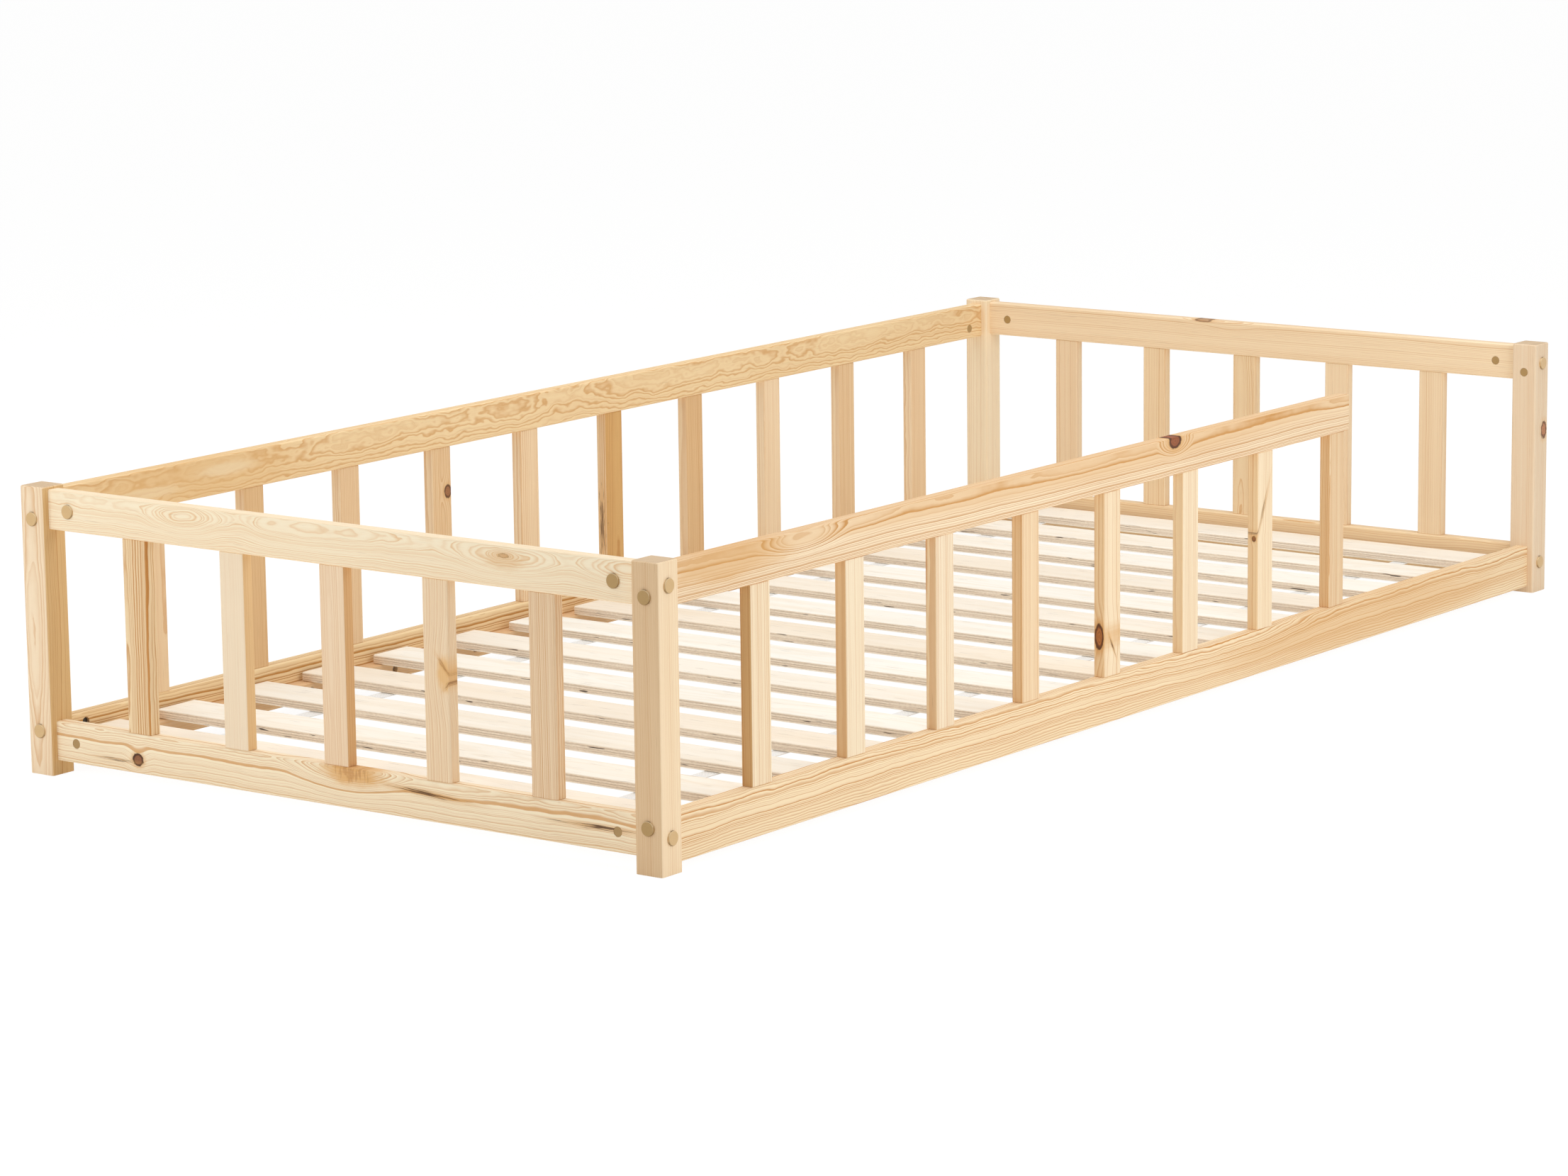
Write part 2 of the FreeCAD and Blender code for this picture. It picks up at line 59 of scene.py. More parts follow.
WHITE = (1.0, 1.0, 1.0, 1.0)
RESIN_DUCT = srgb(150, 104, 62)
END_GRAIN_PALE = srgb(216, 188, 152)
END_GRAIN_DARK = srgb(150, 112, 76)
WARM_VENEER = srgb(236, 202, 156)
VENEER_SPECK = srgb(112, 88, 70)
SAWN_FUZZ = srgb(190, 166, 142)
PLY_VOID = srgb(58, 42, 32)
FITTING_SHADE = srgb(196, 190, 180)
GOLDEN_WOOD = srgb(224, 198, 152)
# Painted highlight and shade for the caps' rims, and painted shade for their feet
CAP_RIM_PAINTED_SHADE = srgb(134, 104, 60)
CAP_RIM_PAINTED_HIGHLIGHT = srgb(240, 216, 174)
CAP_FOOT_PAINTED_SHADE = srgb(112, 84, 46)
WEAVE_VALLEY_SHADE = srgb(226, 225, 221)
FLOOR_SPECKLE = srgb(210, 208, 204)
FLOOR_SHADE = srgb(92, 92, 91)

# How strongly each finish shines
PINE_GLOSS = 0.35
PLYWOOD_GLOSS = 0.3
FLOOR_GLOSS = 0.1


def colour_setting(name, description, red, green, blue):
    """A colour in a panel, its default given as screen values."""
    return FloatVectorProperty(name=name, description=description, subtype="COLOR", size=4,
                               min=0.0, max=1.0, default=srgb(red, green, blue))


def amount_setting(name, description, default, most=1.0, **more):
    """An amount in a panel, from nothing up to the most that makes sense."""
    return FloatProperty(name=name, description=description, default=default, min=0.0, max=most,
                         **more)


class FLOORBED_PG_pine(PropertyGroup):
    """The planed pine of posts, rails, balusters and ledgers."""
    early_wood: colour_setting("Early wood", "Pale wood between the growth lines", 253, 233, 199)
    late_wood: colour_setting("Late wood", "Golden wood of the growth lines", 212, 154, 88)
    knot_heart: colour_setting("Knot", "Red-brown heart of a knot", 140, 74, 38)
    bark_line: colour_setting("Bark line", "Dark line in a knot or a resin streak", 74, 38, 16)
    stain: colour_setting("Stain", "Golden wood around a knot or a streak", 222, 168, 98)
    fibre: amount_setting("Fibre", "Strength of the fine fibres along the grain", 0.22)
    mottle: amount_setting("Mottle", "Strength of the slow drift in tone", 0.16)
    relief: amount_setting("Relief", "Height of the late wood over the early wood", 0.00003, 0.001,
                           unit="LENGTH", precision=5)


class FLOORBED_PG_plywood(PropertyGroup):
    """The thin plywood of the slats."""
    face: colour_setting("Face", "Sanded outer veneer", 255, 251, 241)
    streak: colour_setting("Streak", "Grey-beige streaks in the veneer", 236, 217, 188)
    long_ply: colour_setting("Long ply", "Edge of the plies along the slat", 253, 239, 219)
    cross_ply: colour_setting("Cross ply", "Edge of the plies across the slat", 242, 225, 203)
    glue: colour_setting("Glue line", "Dark line between two plies", 160, 130, 102)


class FLOORBED_PG_fittings(PropertyGroup):
    """Caps, plugs, metal, dowels and webbing."""
    cap: colour_setting("Cover cap", "Tan moulded cap", 184, 148, 90)
    # Laid on the end caps towards the back and on the caps of the front.
    pale_cap: colour_setting("Pale cover cap", "Cap from a paler batch", 220, 184, 130)
    plug: colour_setting("Flush plug", "Tan plug, level with the wood", 184, 148, 92)
    zinc: colour_setting("Zinc", "Plated bolts and screws", 196, 196, 192)
    # The barrel nuts' dark colour is painted shade, for the dark inside their holes.
    nut: colour_setting("Barrel nut", "Dull plate of the barrel nuts", 90, 88, 84)
    wire: colour_setting("Staple wire", "Bright wire of the staples", 206, 206, 206)
    beech: colour_setting("Beech", "Dowels and baluster pins", 214, 176, 134)
    webbing: colour_setting("Webbing", "White woven band", 250, 250, 249)


class FLOORBED_PG_stage(PropertyGroup):
    """The floor, the lamps and the camera."""
    floor: colour_setting("Floor", "Plain pale floor", 238, 237, 234)
    ambient: amount_setting("Ambient", "Even light from all round", 0.44, 2.0)
    floor_glow: amount_setting("Floor glow", "Light given back from below", 0.18)
    top_light: amount_setting("Top light", "Power of the soft box above the bed", 68.0, 500.0,
                              unit="POWER")
    left_light: amount_setting("Left light", "Power of the soft box beyond the left end", 7.5,
                               500.0, unit="POWER")
    front_light: amount_setting("Front light", "Power of the soft box in front of the bed", 20.0,
                                500.0, unit="POWER")
    lens: FloatProperty(name="Lens", description="Focal length on a 36 mm wide sensor",
                        default=117.54, min=10.0, max=400.0)


# --- Shader graphs ---
class Graph:
    """Adds nodes to one shader tree, with the values or sockets that go into them."""

    def __init__(self, tree):
        self.tree = tree

    def feed(self, socket, value):
        """Links another socket to this one, or gives it a plain value."""
        if isinstance(value, bpy.types.NodeSocket):
            self.tree.links.new(value, socket)
        else:
            socket.default_value = value

    def node(self, kind, inputs=(), **settings):
        """A node with its settings, and what goes into its inputs by name or number."""
        node = self.tree.nodes.new("ShaderNode" + kind)
        for name, value in settings.items():
            setattr(node, name, value)
        for key, value in dict(inputs).items():
            self.feed(node.inputs[key], value)
        return node

    def group(self, name, inputs):
        """A shader group with its own values."""
        return self.node("Group", inputs, node_tree=bpy.data.node_groups[name]).outputs

    def math(self, operation, *values, clamp=False):
        node = self.node("Math", enumerate(values), operation=operation, use_clamp=clamp)
        return node.outputs[0]

    def times(self, *values, clamp=False):
        return self.math("MULTIPLY", *values, clamp=clamp)

    def vector(self, operation, *values):
        node = self.node("VectorMath", enumerate(values), operation=operation)
        return node.outputs["Value" if operation == "LENGTH" else "Vector"]

    def join(self, x, y, z):
        return self.node("CombineXYZ", {0: x, 1: y, 2: z}).outputs[0]

    def same(self, value):
        """A vector with one value on all three axes."""
        return self.join(value, value, value)

    def split(self, vector):
        return self.node("SeparateXYZ", {0: vector}).outputs

    def noise(self, place, scale, detail=2.0, roughness=0.5, output="Fac"):
        """A noise field with its own scale along each axis."""
        stretched = self.vector("MULTIPLY", place, scale)
        return self.node("TexNoise", {"Vector": stretched, "Scale": 1.0, "Detail": detail,
                                      "Roughness": roughness}).outputs[output]

    def fit(self, value, low, high, to_low=0.0, to_high=1.0, smooth=False):
        """A value stretched from one range to another."""
        node = self.node("MapRange", enumerate((value, low, high, to_low, to_high)),
                         interpolation_type="SMOOTHSTEP" if smooth else "LINEAR")
        return node.outputs[0]

    def fade(self, value, start, end, full=1.0):
        """Full up to the start, then smoothly down to nothing at the end."""
        return self.fit(value, start, end, full, 0.0, smooth=True)

    def sway(self, value, field, reach, clamp=False):
        """A value moved up and down by a field from 0 to 1, times its reach."""
        centred = self.math("SUBTRACT", field, 0.5)
        return self.math("MULTIPLY_ADD", centred, reach, value, clamp=clamp)

    def mix(self, amount, first, second, blend="MIX"):
        """Two colours mixed. A Mix node keeps its colours in inputs 6 and 7 and output 2."""
        inputs = {0: amount, 6: first, 7: second}
        return self.node("Mix", inputs, data_type="RGBA", blend_type=blend).outputs[2]

    def lay(self, mask, strength, over, colour):
        """A colour with another laid over it, as far as a mask at some strength lets it."""
        return self.mix(self.times(mask, strength), colour, over)

    def tint(self, colour, tone):
        """A colour multiplied by a tone."""
        return self.mix(1.0, colour, tone, blend="MULTIPLY")

    def steps(self, value, stops):
        """A value read off a curve of (place, height) stops."""
        node = self.node("ValToRGB", {0: value})
        elements = node.color_ramp.elements
        while len(elements) < len(stops):
            elements.new(0.5)
        for element, (place, height) in zip(elements, stops):
            element.position = place
            element.color = (height, height, height, 1.0)
        return node.outputs[0]


SURFACE_OUTPUTS = {"Colour": "Color", "Roughness": "Float", "Relief": "Float"}


def new_group(name, inputs, outputs):
    """An empty shader group. Its sockets have a kind, or the default of a plain number."""
    tree = bpy.data.node_groups.new(name, "ShaderNodeTree")
    for way, sockets in (("INPUT", inputs), ("OUTPUT", outputs)):
        for label, kind in sockets.items():
            number = not isinstance(kind, str)
            socket = tree.interface.new_socket(
                label, in_out=way, socket_type="NodeSocket" + ("Float" if number else kind))
            if number:
                socket.default_value = kind
    given = tree.nodes.new("NodeGroupInput").outputs
    return Graph(tree), given, tree.nodes.new("NodeGroupOutput").inputs


# Noise in pine, in waves per metre along the log and on the two axes across it
CURL_SCALE = (26.0, 60.0, 60.0)
FIBRE_SCALE = (7.0, 760.0, 760.0)
BROAD_FIBRE_SCALE = (1.6, 95.0, 95.0)
MOTTLE_SCALE = (4.0, 22.0, 22.0)
DUCT_SCALE = (30.0, 1300.0, 1300.0)
CROSS_WAVES = 11.0        # waves per metre across the log in the rings' own wandering
SEED_SPREAD = (3.7, 1.9, 2.3)
SEASON_RATE = 0.31        # how quickly wide and narrow years follow each other
SEASON_REACH = 2.2        # years that they run ahead and fall behind

# How dark a year's wood is, from its start in spring to its end
CRISP_YEAR = ((0.0, 0.6), (0.06, 0.0), (0.35, 0.1), (0.66, 0.45), (0.88, 0.92), (1.0, 1.0))
SOFT_YEAR = ((0.0, 0.55), (0.22, 0.0), (0.45, 0.1), (0.75, 0.75), (0.88, 1.0), (1.0, 0.55))


def build_growth_rings():
    """Group: pine as sawn from a log that runs along the place's X axis."""
    wood, given, out = new_group("Growth rings", {
        "Place": "Vector", "Normal": "Vector", "Seed": 0.0, "Ring Width": 0.0025, "Waver": 0.004,
        "Wave Rate": 3.0, "Curl": 0.0004, "Pull": 0.0, "Depth": 0.8, "Softness": 0.0,
        "Fibre": 0.2, "Mottle": 0.15, "Early Wood": "Color", "Late Wood": "Color"},
        SURFACE_OUTPUTS)
    seed = wood.same(given["Seed"])
    seeded = wood.vector("ADD", given["Place"], wood.vector("MULTIPLY", seed, SEED_SPREAD))

    # The distance from the log's heart, which wanders, curls and is pulled aside by marks
    waves = wood.join(given["Wave Rate"], CROSS_WAVES, CROSS_WAVES)
    wander = wood.noise(seeded, waves, roughness=0.45, output="Color")
    wander = wood.vector("SUBTRACT", wander, (0.5, 0.5, 0.5))
    reach = wood.times(given["Waver"], 4.0)
    reach = wood.join(0.0, reach, reach)
    across = wood.vector("MULTIPLY", given["Place"], (0.0, 1.0, 1.0))
    across = wood.vector("ADD", across, wood.vector("MULTIPLY", wander, reach))
    radius = wood.math("ADD", wood.vector("LENGTH", across), given["Pull"])
    radius = wood.sway(radius, wood.noise(seeded, CURL_SCALE), wood.times(given["Curl"], 4.0))

    # The years, some wide and some narrow, each with its own strength of late wood
    years = wood.math("DIVIDE", radius, given["Ring Width"])
    moment = wood.math("ADD", wood.times(years, SEASON_RATE), given["Seed"])
    seasons = wood.node("TexNoise", {"W": moment, "Scale": 1.0, "Detail": 1.0},
                        noise_dimensions="1D").outputs["Fac"]
    years = wood.sway(years, seasons, SEASON_REACH)
    within = wood.math("FRACT", years)
    late = wood.mix(given["Softness"], wood.steps(within, CRISP_YEAR),
                    wood.steps(within, SOFT_YEAR))
    year = wood.math("ADD", wood.math("FLOOR", years), given["Seed"])
    luck = wood.node("TexWhiteNoise", {"W": year}, noise_dimensions="1D").outputs["Value"]
    late = wood.times(late, wood.fit(luck, 0.0, 1.0, 0.3, 1.0))

    # The colour: late wood over early, fibres, slow drifts and the dots of resin ducts
    fibre = wood.noise(seeded, FIBRE_SCALE)
    tone = wood.times(late, given["Depth"])
    broad = wood.noise(seeded, BROAD_FIBRE_SCALE)
    mottle = wood.noise(seeded, MOTTLE_SCALE)
    for field, strength in ((fibre, "Fibre"), (broad, "Mottle"), (mottle, "Mottle")):
        tone = wood.sway(tone, field, given[strength])
    tone = wood.math("ADD", tone, 0.04, clamp=True)
    colour = wood.mix(tone, given["Early Wood"], given["Late Wood"])
    ducts = wood.fit(wood.noise(seeded, DUCT_SCALE, detail=0.0), 0.74, 0.84)
    colour = wood.lay(ducts, 0.18, RESIN_DUCT, colour)

    # End grain, where the surface looks along the log
    facing = wood.math("ABSOLUTE", wood.split(given["Normal"])[0])
    end_grain = wood.fit(facing, 0.75, 0.95, smooth=True)
    end_tone = wood.lay(late, 0.55, END_GRAIN_DARK, END_GRAIN_PALE)
    wood.feed(out["Colour"], wood.lay(end_grain, 0.85, end_tone, colour))
    rough = wood.math("MULTIPLY_ADD", late, -0.08, 0.56)
    wood.feed(out["Roughness"], wood.math("MULTIPLY_ADD", fibre, 0.10, rough))
    wood.feed(out["Relief"], wood.math("MULTIPLY_ADD", fibre, 0.5, late))


PULL_REACH = (0.4, 3.4)   # where a mark's pull on the growth lines is whole, and where it ends


def build_grain_mark():
    """Group: a knot or wash, from a place whose distance from zero is 1 at the mark's edge."""
    mark, given, out = new_group(
        "Grain mark", {"Place": "Vector", "Seed": 0.0, "Ragged": 0.25},
        {"Mask": "Float", "Rim": "Float", "Reach": "Float", "Distance": "Float"})
    shift = mark.vector("ADD", given["Place"], mark.join(given["Seed"], given["Seed"], 0.0))
    distance = mark.vector("LENGTH", given["Place"])
    ragged = mark.sway(distance, mark.noise(shift, (2.6, 2.6, 2.6), detail=3.0),
                       mark.times(given["Ragged"], 2.0))
    mark.feed(out["Mask"], mark.fade(ragged, 0.82, 1.08))
    rise = mark.fit(ragged, 0.55, 0.92, smooth=True)
    mark.feed(out["Rim"], mark.times(rise, mark.fade(ragged, 0.95, 1.15)))
    mark.feed(out["Reach"], mark.fade(distance, *PULL_REACH))
    mark.feed(out["Distance"], ragged)


def build_resin_streak():
    """Group: dark fibres, from a place whose distance from zero is 1 at the bundle's tips."""
    graph, given, out = new_group(
        "Resin streak", {"Place": "Vector", "Fibres": "Vector", "Seed": 0.0},
        {"Mask": "Float", "Stain": "Float", "Reach": "Float"})
    seed = graph.same(given["Seed"])
    combed = graph.vector("ADD", graph.vector("MULTIPLY", given["Place"], given["Fibres"]), seed)
    fibres = graph.noise(combed, (1.0, 1.0, 1.0), detail=3.0, roughness=0.6)
    sway = graph.node("TexNoise", {"Vector": graph.vector("ADD", given["Place"], seed),
                                   "Scale": 2.0}).outputs["Color"]
    sway = graph.vector("MULTIPLY", sway, (0.7, 0.7, 0.7))
    sway = graph.vector("SUBTRACT", sway, (0.35, 0.35, 0.35))
    distance = graph.vector("LENGTH", graph.vector("ADD", given["Place"], sway))
    graph.feed(out["Mask"], graph.fade(graph.sway(distance, fibres, 3.4), 0.15, 0.75))
    graph.feed(out["Stain"], graph.fade(distance, 0.2, 1.7))
    graph.feed(out["Reach"], graph.fade(distance, *PULL_REACH))


# Noise in plywood, in waves per metre across the slat, along it and upwards
VENEER_FIBRE_SCALE = (420.0, 5.0, 300.0)
VENEER_CLOUD_SCALE = (38.0, 2.2, 20.0)
VENEER_DRIFT_SCALE = (14.0, 2.0, 10.0)
SPECK_SCALE = (900.0, 22.0, 400.0)
RIPPLE_SCALE = (34.0, 9.0, 0.0)
FUZZ_SCALE = (260.0, 260.0, 900.0)
GLUE_BREAK_SCALE = (30.0, 14.0, 200.0)
VOID_SCALE = (40.0, 26.0, 330.0)
FIGURE_BANDS = 11.0
FIGURE_BAND = ((0.0, 0.0), (0.55, 0.2), (0.85, 1.0), (1.0, 0.1))
PLIES = 4.0


def build_plywood():
    """Group: thin plywood that lies flat, its outer veneer's grain along Y."""
    ply, given, out = new_group("Plywood", {
        "Place": "Vector", "Normal": "Vector", "Seed": 0.0, "Underside": 0.038,
        "Thickness": 0.012, "Warmth": 0.0, "Figure": 0.5, "Face": "Color", "Streak": "Color",
        "Long Ply": "Color", "Cross Ply": "Color", "Glue": "Color"}, SURFACE_OUTPUTS)
    seed = ply.same(given["Seed"])
    place = ply.vector("ADD", given["Place"], ply.vector("MULTIPLY", seed, (1.3, 2.9, 0.7)))

    # The outer veneer: clouds, bands of figure, fine fibres and dark specks
    fine = ply.noise(place, VENEER_FIBRE_SCALE)
    clouds = ply.fit(ply.noise(place, VENEER_CLOUD_SCALE, detail=3.0), 0.45, 0.8)
    drift = ply.noise(place, VENEER_DRIFT_SCALE)
    band = ply.math("FRACT", ply.times(drift, FIGURE_BANDS))
    band = ply.times(ply.steps(band, FIGURE_BAND), given["Figure"])
    tone = ply.math("MULTIPLY_ADD", band, 0.3, ply.times(clouds, 0.4))
    tone = ply.sway(tone, fine, 0.3, clamp=True)
    face = ply.mix(tone, ply.mix(given["Warmth"], given["Face"], WARM_VENEER), given["Streak"])
    specks = ply.fit(ply.noise(place, SPECK_SCALE, detail=0.0), 0.76, 0.82)
    face = ply.lay(specks, 0.6, VENEER_SPECK, face)

    # The sawn edge: plies in turn along and across, with broken glue lines and small voids
    height = ply.math("SUBTRACT", ply.split(given["Place"])[2], given["Underside"])
    height = ply.math("DIVIDE", height, given["Thickness"])
    plies = ply.times(ply.sway(height, ply.noise(place, RIPPLE_SCALE), 0.07), PLIES)
    odd = ply.math("FRACT", ply.times(ply.math("FLOOR", plies), 0.5))
    edge = ply.mix(ply.math("GREATER_THAN", odd, 0.25), given["Long Ply"], given["Cross Ply"])
    fuzz = ply.fit(ply.noise(place, FUZZ_SCALE), 0.35, 0.75)
    edge = ply.lay(fuzz, 0.35, SAWN_FUZZ, edge)
    line = ply.math("SUBTRACT", ply.math("FRACT", ply.math("ADD", plies, 0.5)), 0.5)
    line = ply.fade(ply.math("ABSOLUTE", line), 0.03, 0.11)
    inner = ply.times(ply.math("GREATER_THAN", height, 0.1), ply.math("LESS_THAN", height, 0.9))
    broken = ply.fit(ply.noise(place, GLUE_BREAK_SCALE), 0.36, 0.52)
    line = ply.times(ply.times(line, inner), broken)
    edge = ply.lay(line, 0.85, given["Glue"], edge)
    void = ply.fit(ply.noise(place, VOID_SCALE, detail=1.0), 0.70, 0.76, smooth=True)
    void = ply.times(void, inner)
    edge = ply.lay(void, 0.9, PLY_VOID, edge)

    level = ply.math("ABSOLUTE", ply.split(given["Normal"])[2])
    level = ply.fit(level, 0.35, 0.75, smooth=True)
    ply.feed(out["Colour"], ply.mix(level, edge, face))
    ply.feed(out["Roughness"], ply.fit(fine, 0.0, 1.0, 0.55, 0.68))
    dents = ply.math("MAXIMUM", ply.times(line, 0.7), void)
    dents = ply.times(dents, ply.math("SUBTRACT", 1.0, level))
    ply.feed(out["Relief"], ply.math("SUBTRACT", ply.times(fine, 0.4), dents))


def build_fitting_skin():
    """Group: the faint moulded or plated texture of small fittings."""
    skin, given, out = new_group("Fitting skin", {
        "Place": "Vector", "Colour": "Color", "Grain": 900.0, "Drift": 0.1}, SURFACE_OUTPUTS)
    grain = skin.same(given["Grain"])
    fine = skin.noise(given["Place"], grain)
    broad = skin.noise(given["Place"], (60.0, 60.0, 60.0))
    darker = skin.tint(given["Colour"], FITTING_SHADE)
    amount = skin.times(skin.math("ADD", fine, broad), given["Drift"], clamp=True)
    skin.feed(out["Colour"], skin.mix(amount, given["Colour"], darker))
    skin.feed(out["Roughness"], skin.fit(broad, 0.3, 0.7, 0.34, 0.48))
    skin.feed(out["Relief"], fine)


# --- Materials ---
class Surface(Graph):
    """A material in the making, with its shader and the object's own coordinates."""

    def __init__(self, name, colour):
        self.material = bpy.data.materials.new(name)
        self.material.use_nodes = True
        self.material.diffuse_color = colour
        super().__init__(self.material.node_tree)
        self.shader = self.tree.nodes["Principled BSDF"]
        coordinates = self.node("TexCoord")
        self.place = coordinates.outputs["Object"]
        self.normal = coordinates.outputs["Normal"]

    def finish(self, skin, height, colour=None, gloss=0.5):
        """Feeds a skin's colour, roughness and relief to the shader. The height is in metres."""
        bump = self.node("Bump", {"Height": skin["Relief"], "Distance": height, "Strength": 1.0})
        self.feed(self.shader.inputs["Base Color"], colour or skin["Colour"])
        self.feed(self.shader.inputs["Roughness"], skin["Roughness"])
        self.feed(self.shader.inputs["Normal"], bump.outputs[0])
        self.shader.inputs["Specular IOR Level"].default_value = gloss
        return self.material


def dress(node, material):
    """Gives a node of the frame its material."""
    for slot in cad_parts[node].material_slots:
        slot.material = material


class Board(NamedTuple):
    """How one board was sawn: where the log's heart lies, how its rings look, and its marks."""
    node: str
    grain: str                # the axis that the board runs along
    heart: tuple              # millimetres from the board's middle, on the two axes across
    ring: float = 2.4         # millimetres from one growth line to the next
    waver: float = 2.0        # millimetres that the lines wander
    rate: float = 1.4         # waves of that per metre along the board
    curl: float = 0.4         # millimetres of small ripples
    tilt: tuple = (0.0, 0.0)  # degrees that the log leans from the board
    depth: float = 0.5        # strength of the growth lines
    soft: float = 0.0         # from crisp growth lines to soft ones
    seed: float = 0.0
    tint: tuple = (0, 0, 0)   # screen steps added to the early wood
    late: tuple = (0, 0, 0)   # screen steps added to the late wood
    side: tuple = ()          # an axis, and the painted shade of the faces that look along it
    mottle: float = 1.0       # times the pine's own mottle
    marks: tuple = ()


MARK_SEED_STEP = 3.1
KNOT_RINGS = 19.0         # radians of the rings' wave from a knot's middle to its edge


def place_marks(surface, marks, seed):
    """Sets marks out: how far they pull the growth lines aside, and each mark with its shape."""
    pull = 0.0
    shapes = []
    for index, mark in enumerate(marks):
        turn = [math.radians(angle) for angle in mark.get("turn", (0, 0, 0))]
        spot = surface.node("Mapping", {
            "Vector": surface.place, "Location": Vector(mark["at"]) * MM, "Rotation": turn,
            "Scale": Vector(mark["size"]) * MM}, vector_type="TEXTURE")
        values = {"Place": spot.outputs[0], "Seed": seed + index * MARK_SEED_STEP}
        if "fibres" in mark:
            shape = surface.group("Resin streak", dict(values, Fibres=mark["fibres"]))
        else:
            shape = surface.group("Grain mark", dict(values, Ragged=mark.get("ragged", 0.2)))
        if mark.get("pull"):
            pull = surface.math("MULTIPLY_ADD", shape["Reach"], mark["pull"] * MM, pull)
        shapes.append((mark, shape))
    return pull, shapes


def paint_marks(surface, colour, shapes, settings):
    """Lays the marks' washes, streaks and knots over the plain wood's colour."""
    for mark, shape in shapes:
        if "patch" in mark:
            wash = surface.fade(shape["Distance"], 0.45, 1.25, full=mark["patch"])
            colour = surface.mix(wash, colour, mark.get("colour", settings.stain))
        elif "fibres" in mark:
            colour = surface.lay(shape["Stain"], mark["stain"], settings.stain, colour)
            colour = surface.lay(shape["Mask"], mark["strength"],
                                 mark.get("colour", settings.bark_line), colour)
        elif "knot" in mark:
            halo = surface.fade(shape["Distance"], 0.9, 1.9)
            colour = surface.lay(halo, mark["stain"], settings.stain, colour)
            rings = surface.math("SINE", surface.times(shape["Distance"], KNOT_RINGS))
            heart = surface.mix(surface.fit(rings, -1.0, 1.0, 0.0, 0.45),
                                mark.get("colour", settings.knot_heart), settings.bark_line)
            colour = surface.lay(shape["Mask"], mark["strength"], heart, colour)
            colour = surface.lay(shape["Rim"], mark["knot"], settings.bark_line, colour)
    return colour


# Turns that lay a log along each of the axes
GRAIN_TURNS = {"X": (0.0, 0.0, 0.0), "Y": (0.0, 0.0, math.pi / 2), "Z": (0.0, -math.pi / 2, 0.0)}


def faces_along(surface, axis, across=0.0, along=1.0):
    """One value on faces that look along an axis, and another on those that look across it."""
    facing = surface.math("ABSOLUTE", surface.split(surface.normal)[AXES.index(axis)])
    return surface.fit(facing, 0.5, 0.85, across, along, smooth=True)


def pine_material(board, settings):
    """Pine for one board, with its own log, tone and marks."""
    low, high = (Vector(corner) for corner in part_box(board.node))
    heart = Vector((0.0, 0.0, 0.0))
    turn = list(GRAIN_TURNS[board.grain])
    across = [axis for axis in range(3) if AXES[axis] != board.grain]
    for axis, offset, angle in zip(across, board.heart, board.tilt):
        heart[axis] = offset
        turn[axis] += math.radians(angle)
    log = (low + high) / 2 + heart * MM

    wood = Surface("Pine of " + board.node, settings.early_wood)
    in_log = wood.node("Mapping", {"Vector": wood.place, "Location": log, "Rotation": turn},
                       vector_type="TEXTURE")
    facing = wood.node("Mapping", {"Vector": wood.normal, "Rotation": turn}, vector_type="TEXTURE")
    pull, shapes = place_marks(wood, board.marks, board.seed)
    pine = wood.group("Growth rings", {
        "Place": in_log.outputs[0], "Normal": facing.outputs[0], "Seed": board.seed,
        "Ring Width": board.ring * MM, "Waver": board.waver * MM, "Wave Rate": board.rate,
        "Curl": board.curl * MM, "Pull": pull, "Depth": board.depth, "Softness": board.soft,
        "Fibre": settings.fibre, "Mottle": settings.mottle * board.mottle,
        "Early Wood": shifted(settings.early_wood, board.tint),
        "Late Wood": shifted(settings.late_wood, board.late)})
    colour = paint_marks(wood, pine["Colour"], shapes, settings)
    # Painted shade: faces that look along the board's side axis are darkened by its tone.
    if board.side:
        axis, tone = board.side
        colour = wood.mix(faces_along(wood, axis), colour, wood.tint(colour, srgb(*tone)))
    return wood.finish(pine, settings.relief, colour, PINE_GLOSS)


def dress_boards(boards, context):
    """Gives each board its own pine."""
    for board in boards:
        dress(board.node, pine_material(board, context.scene.floorbed_pine))


# --- Boards ---
# A mark's place is in millimetres, in the bed's own frame, and its size is half its length
# along each axis.
DEEP = 400.0              # half size along the way that a mark goes right through its board


def knot(at, size, pull=0.0, strength=0.9, rim=0.8, stain=0.4, **more):
    """A knot: its rings pull the growth lines aside, and a dark rim and a stain lie round it."""
    return dict(at=at, size=size, pull=pull, strength=strength, knot=rim, stain=stain, **more)


def streak(at, size, strength=0.7, stain=0.35, **more):
    """A resin streak: its fibres run along its longest way, other than through the board."""
    longest = max(length for length in size if length != DEEP)
    fibres = [0.0 if length == DEEP else 1.3 if length == longest else 5.0 for length in size]
    return dict(dict(at=at, size=size, strength=strength, stain=stain, fibres=fibres), **more)


def eye(at, size, pull):
    """A place where the growth lines close into ovals, with no knot in it."""
    return dict(at=at, size=size, pull=pull)


def patch(at, size, amount, **more):
    """A soft wash of a warmer tone."""
    return dict(at=at, size=size, patch=amount, ragged=0.35, **more)


POSTS = (
    Board("post_front_left", "Z", (62, 74), ring=1.9, waver=1.5, rate=1.0, depth=0.35, seed=1.3,
          tint=(-2, -6, -8), side=("X", (233, 223, 211))),
    Board("post_back_left", "Z", (-40, 3), waver=4.0, rate=3.2, curl=0.7, depth=0.62, seed=2.1,
          tint=(-4, -6, -4), side=("Y", (234, 217, 181)), marks=(
        eye((-1040, 474, 238), (14, DEEP, 80), pull=-5.0),)),
    Board("post_front_right", "Z", (-30, -64), ring=2.0, rate=2.0, depth=0.45, seed=3.7,
          tint=(-14, -16, -12), marks=(
        knot((1028, -490, 233.7), (8, DEEP, 12), pull=3.0, strength=0.8, ragged=0.4,
             colour=srgb(190, 112, 68)),)),
    Board("post_back_right", "Z", (70, -50), ring=2.2, rate=1.5, depth=0.3, seed=4.9),
)

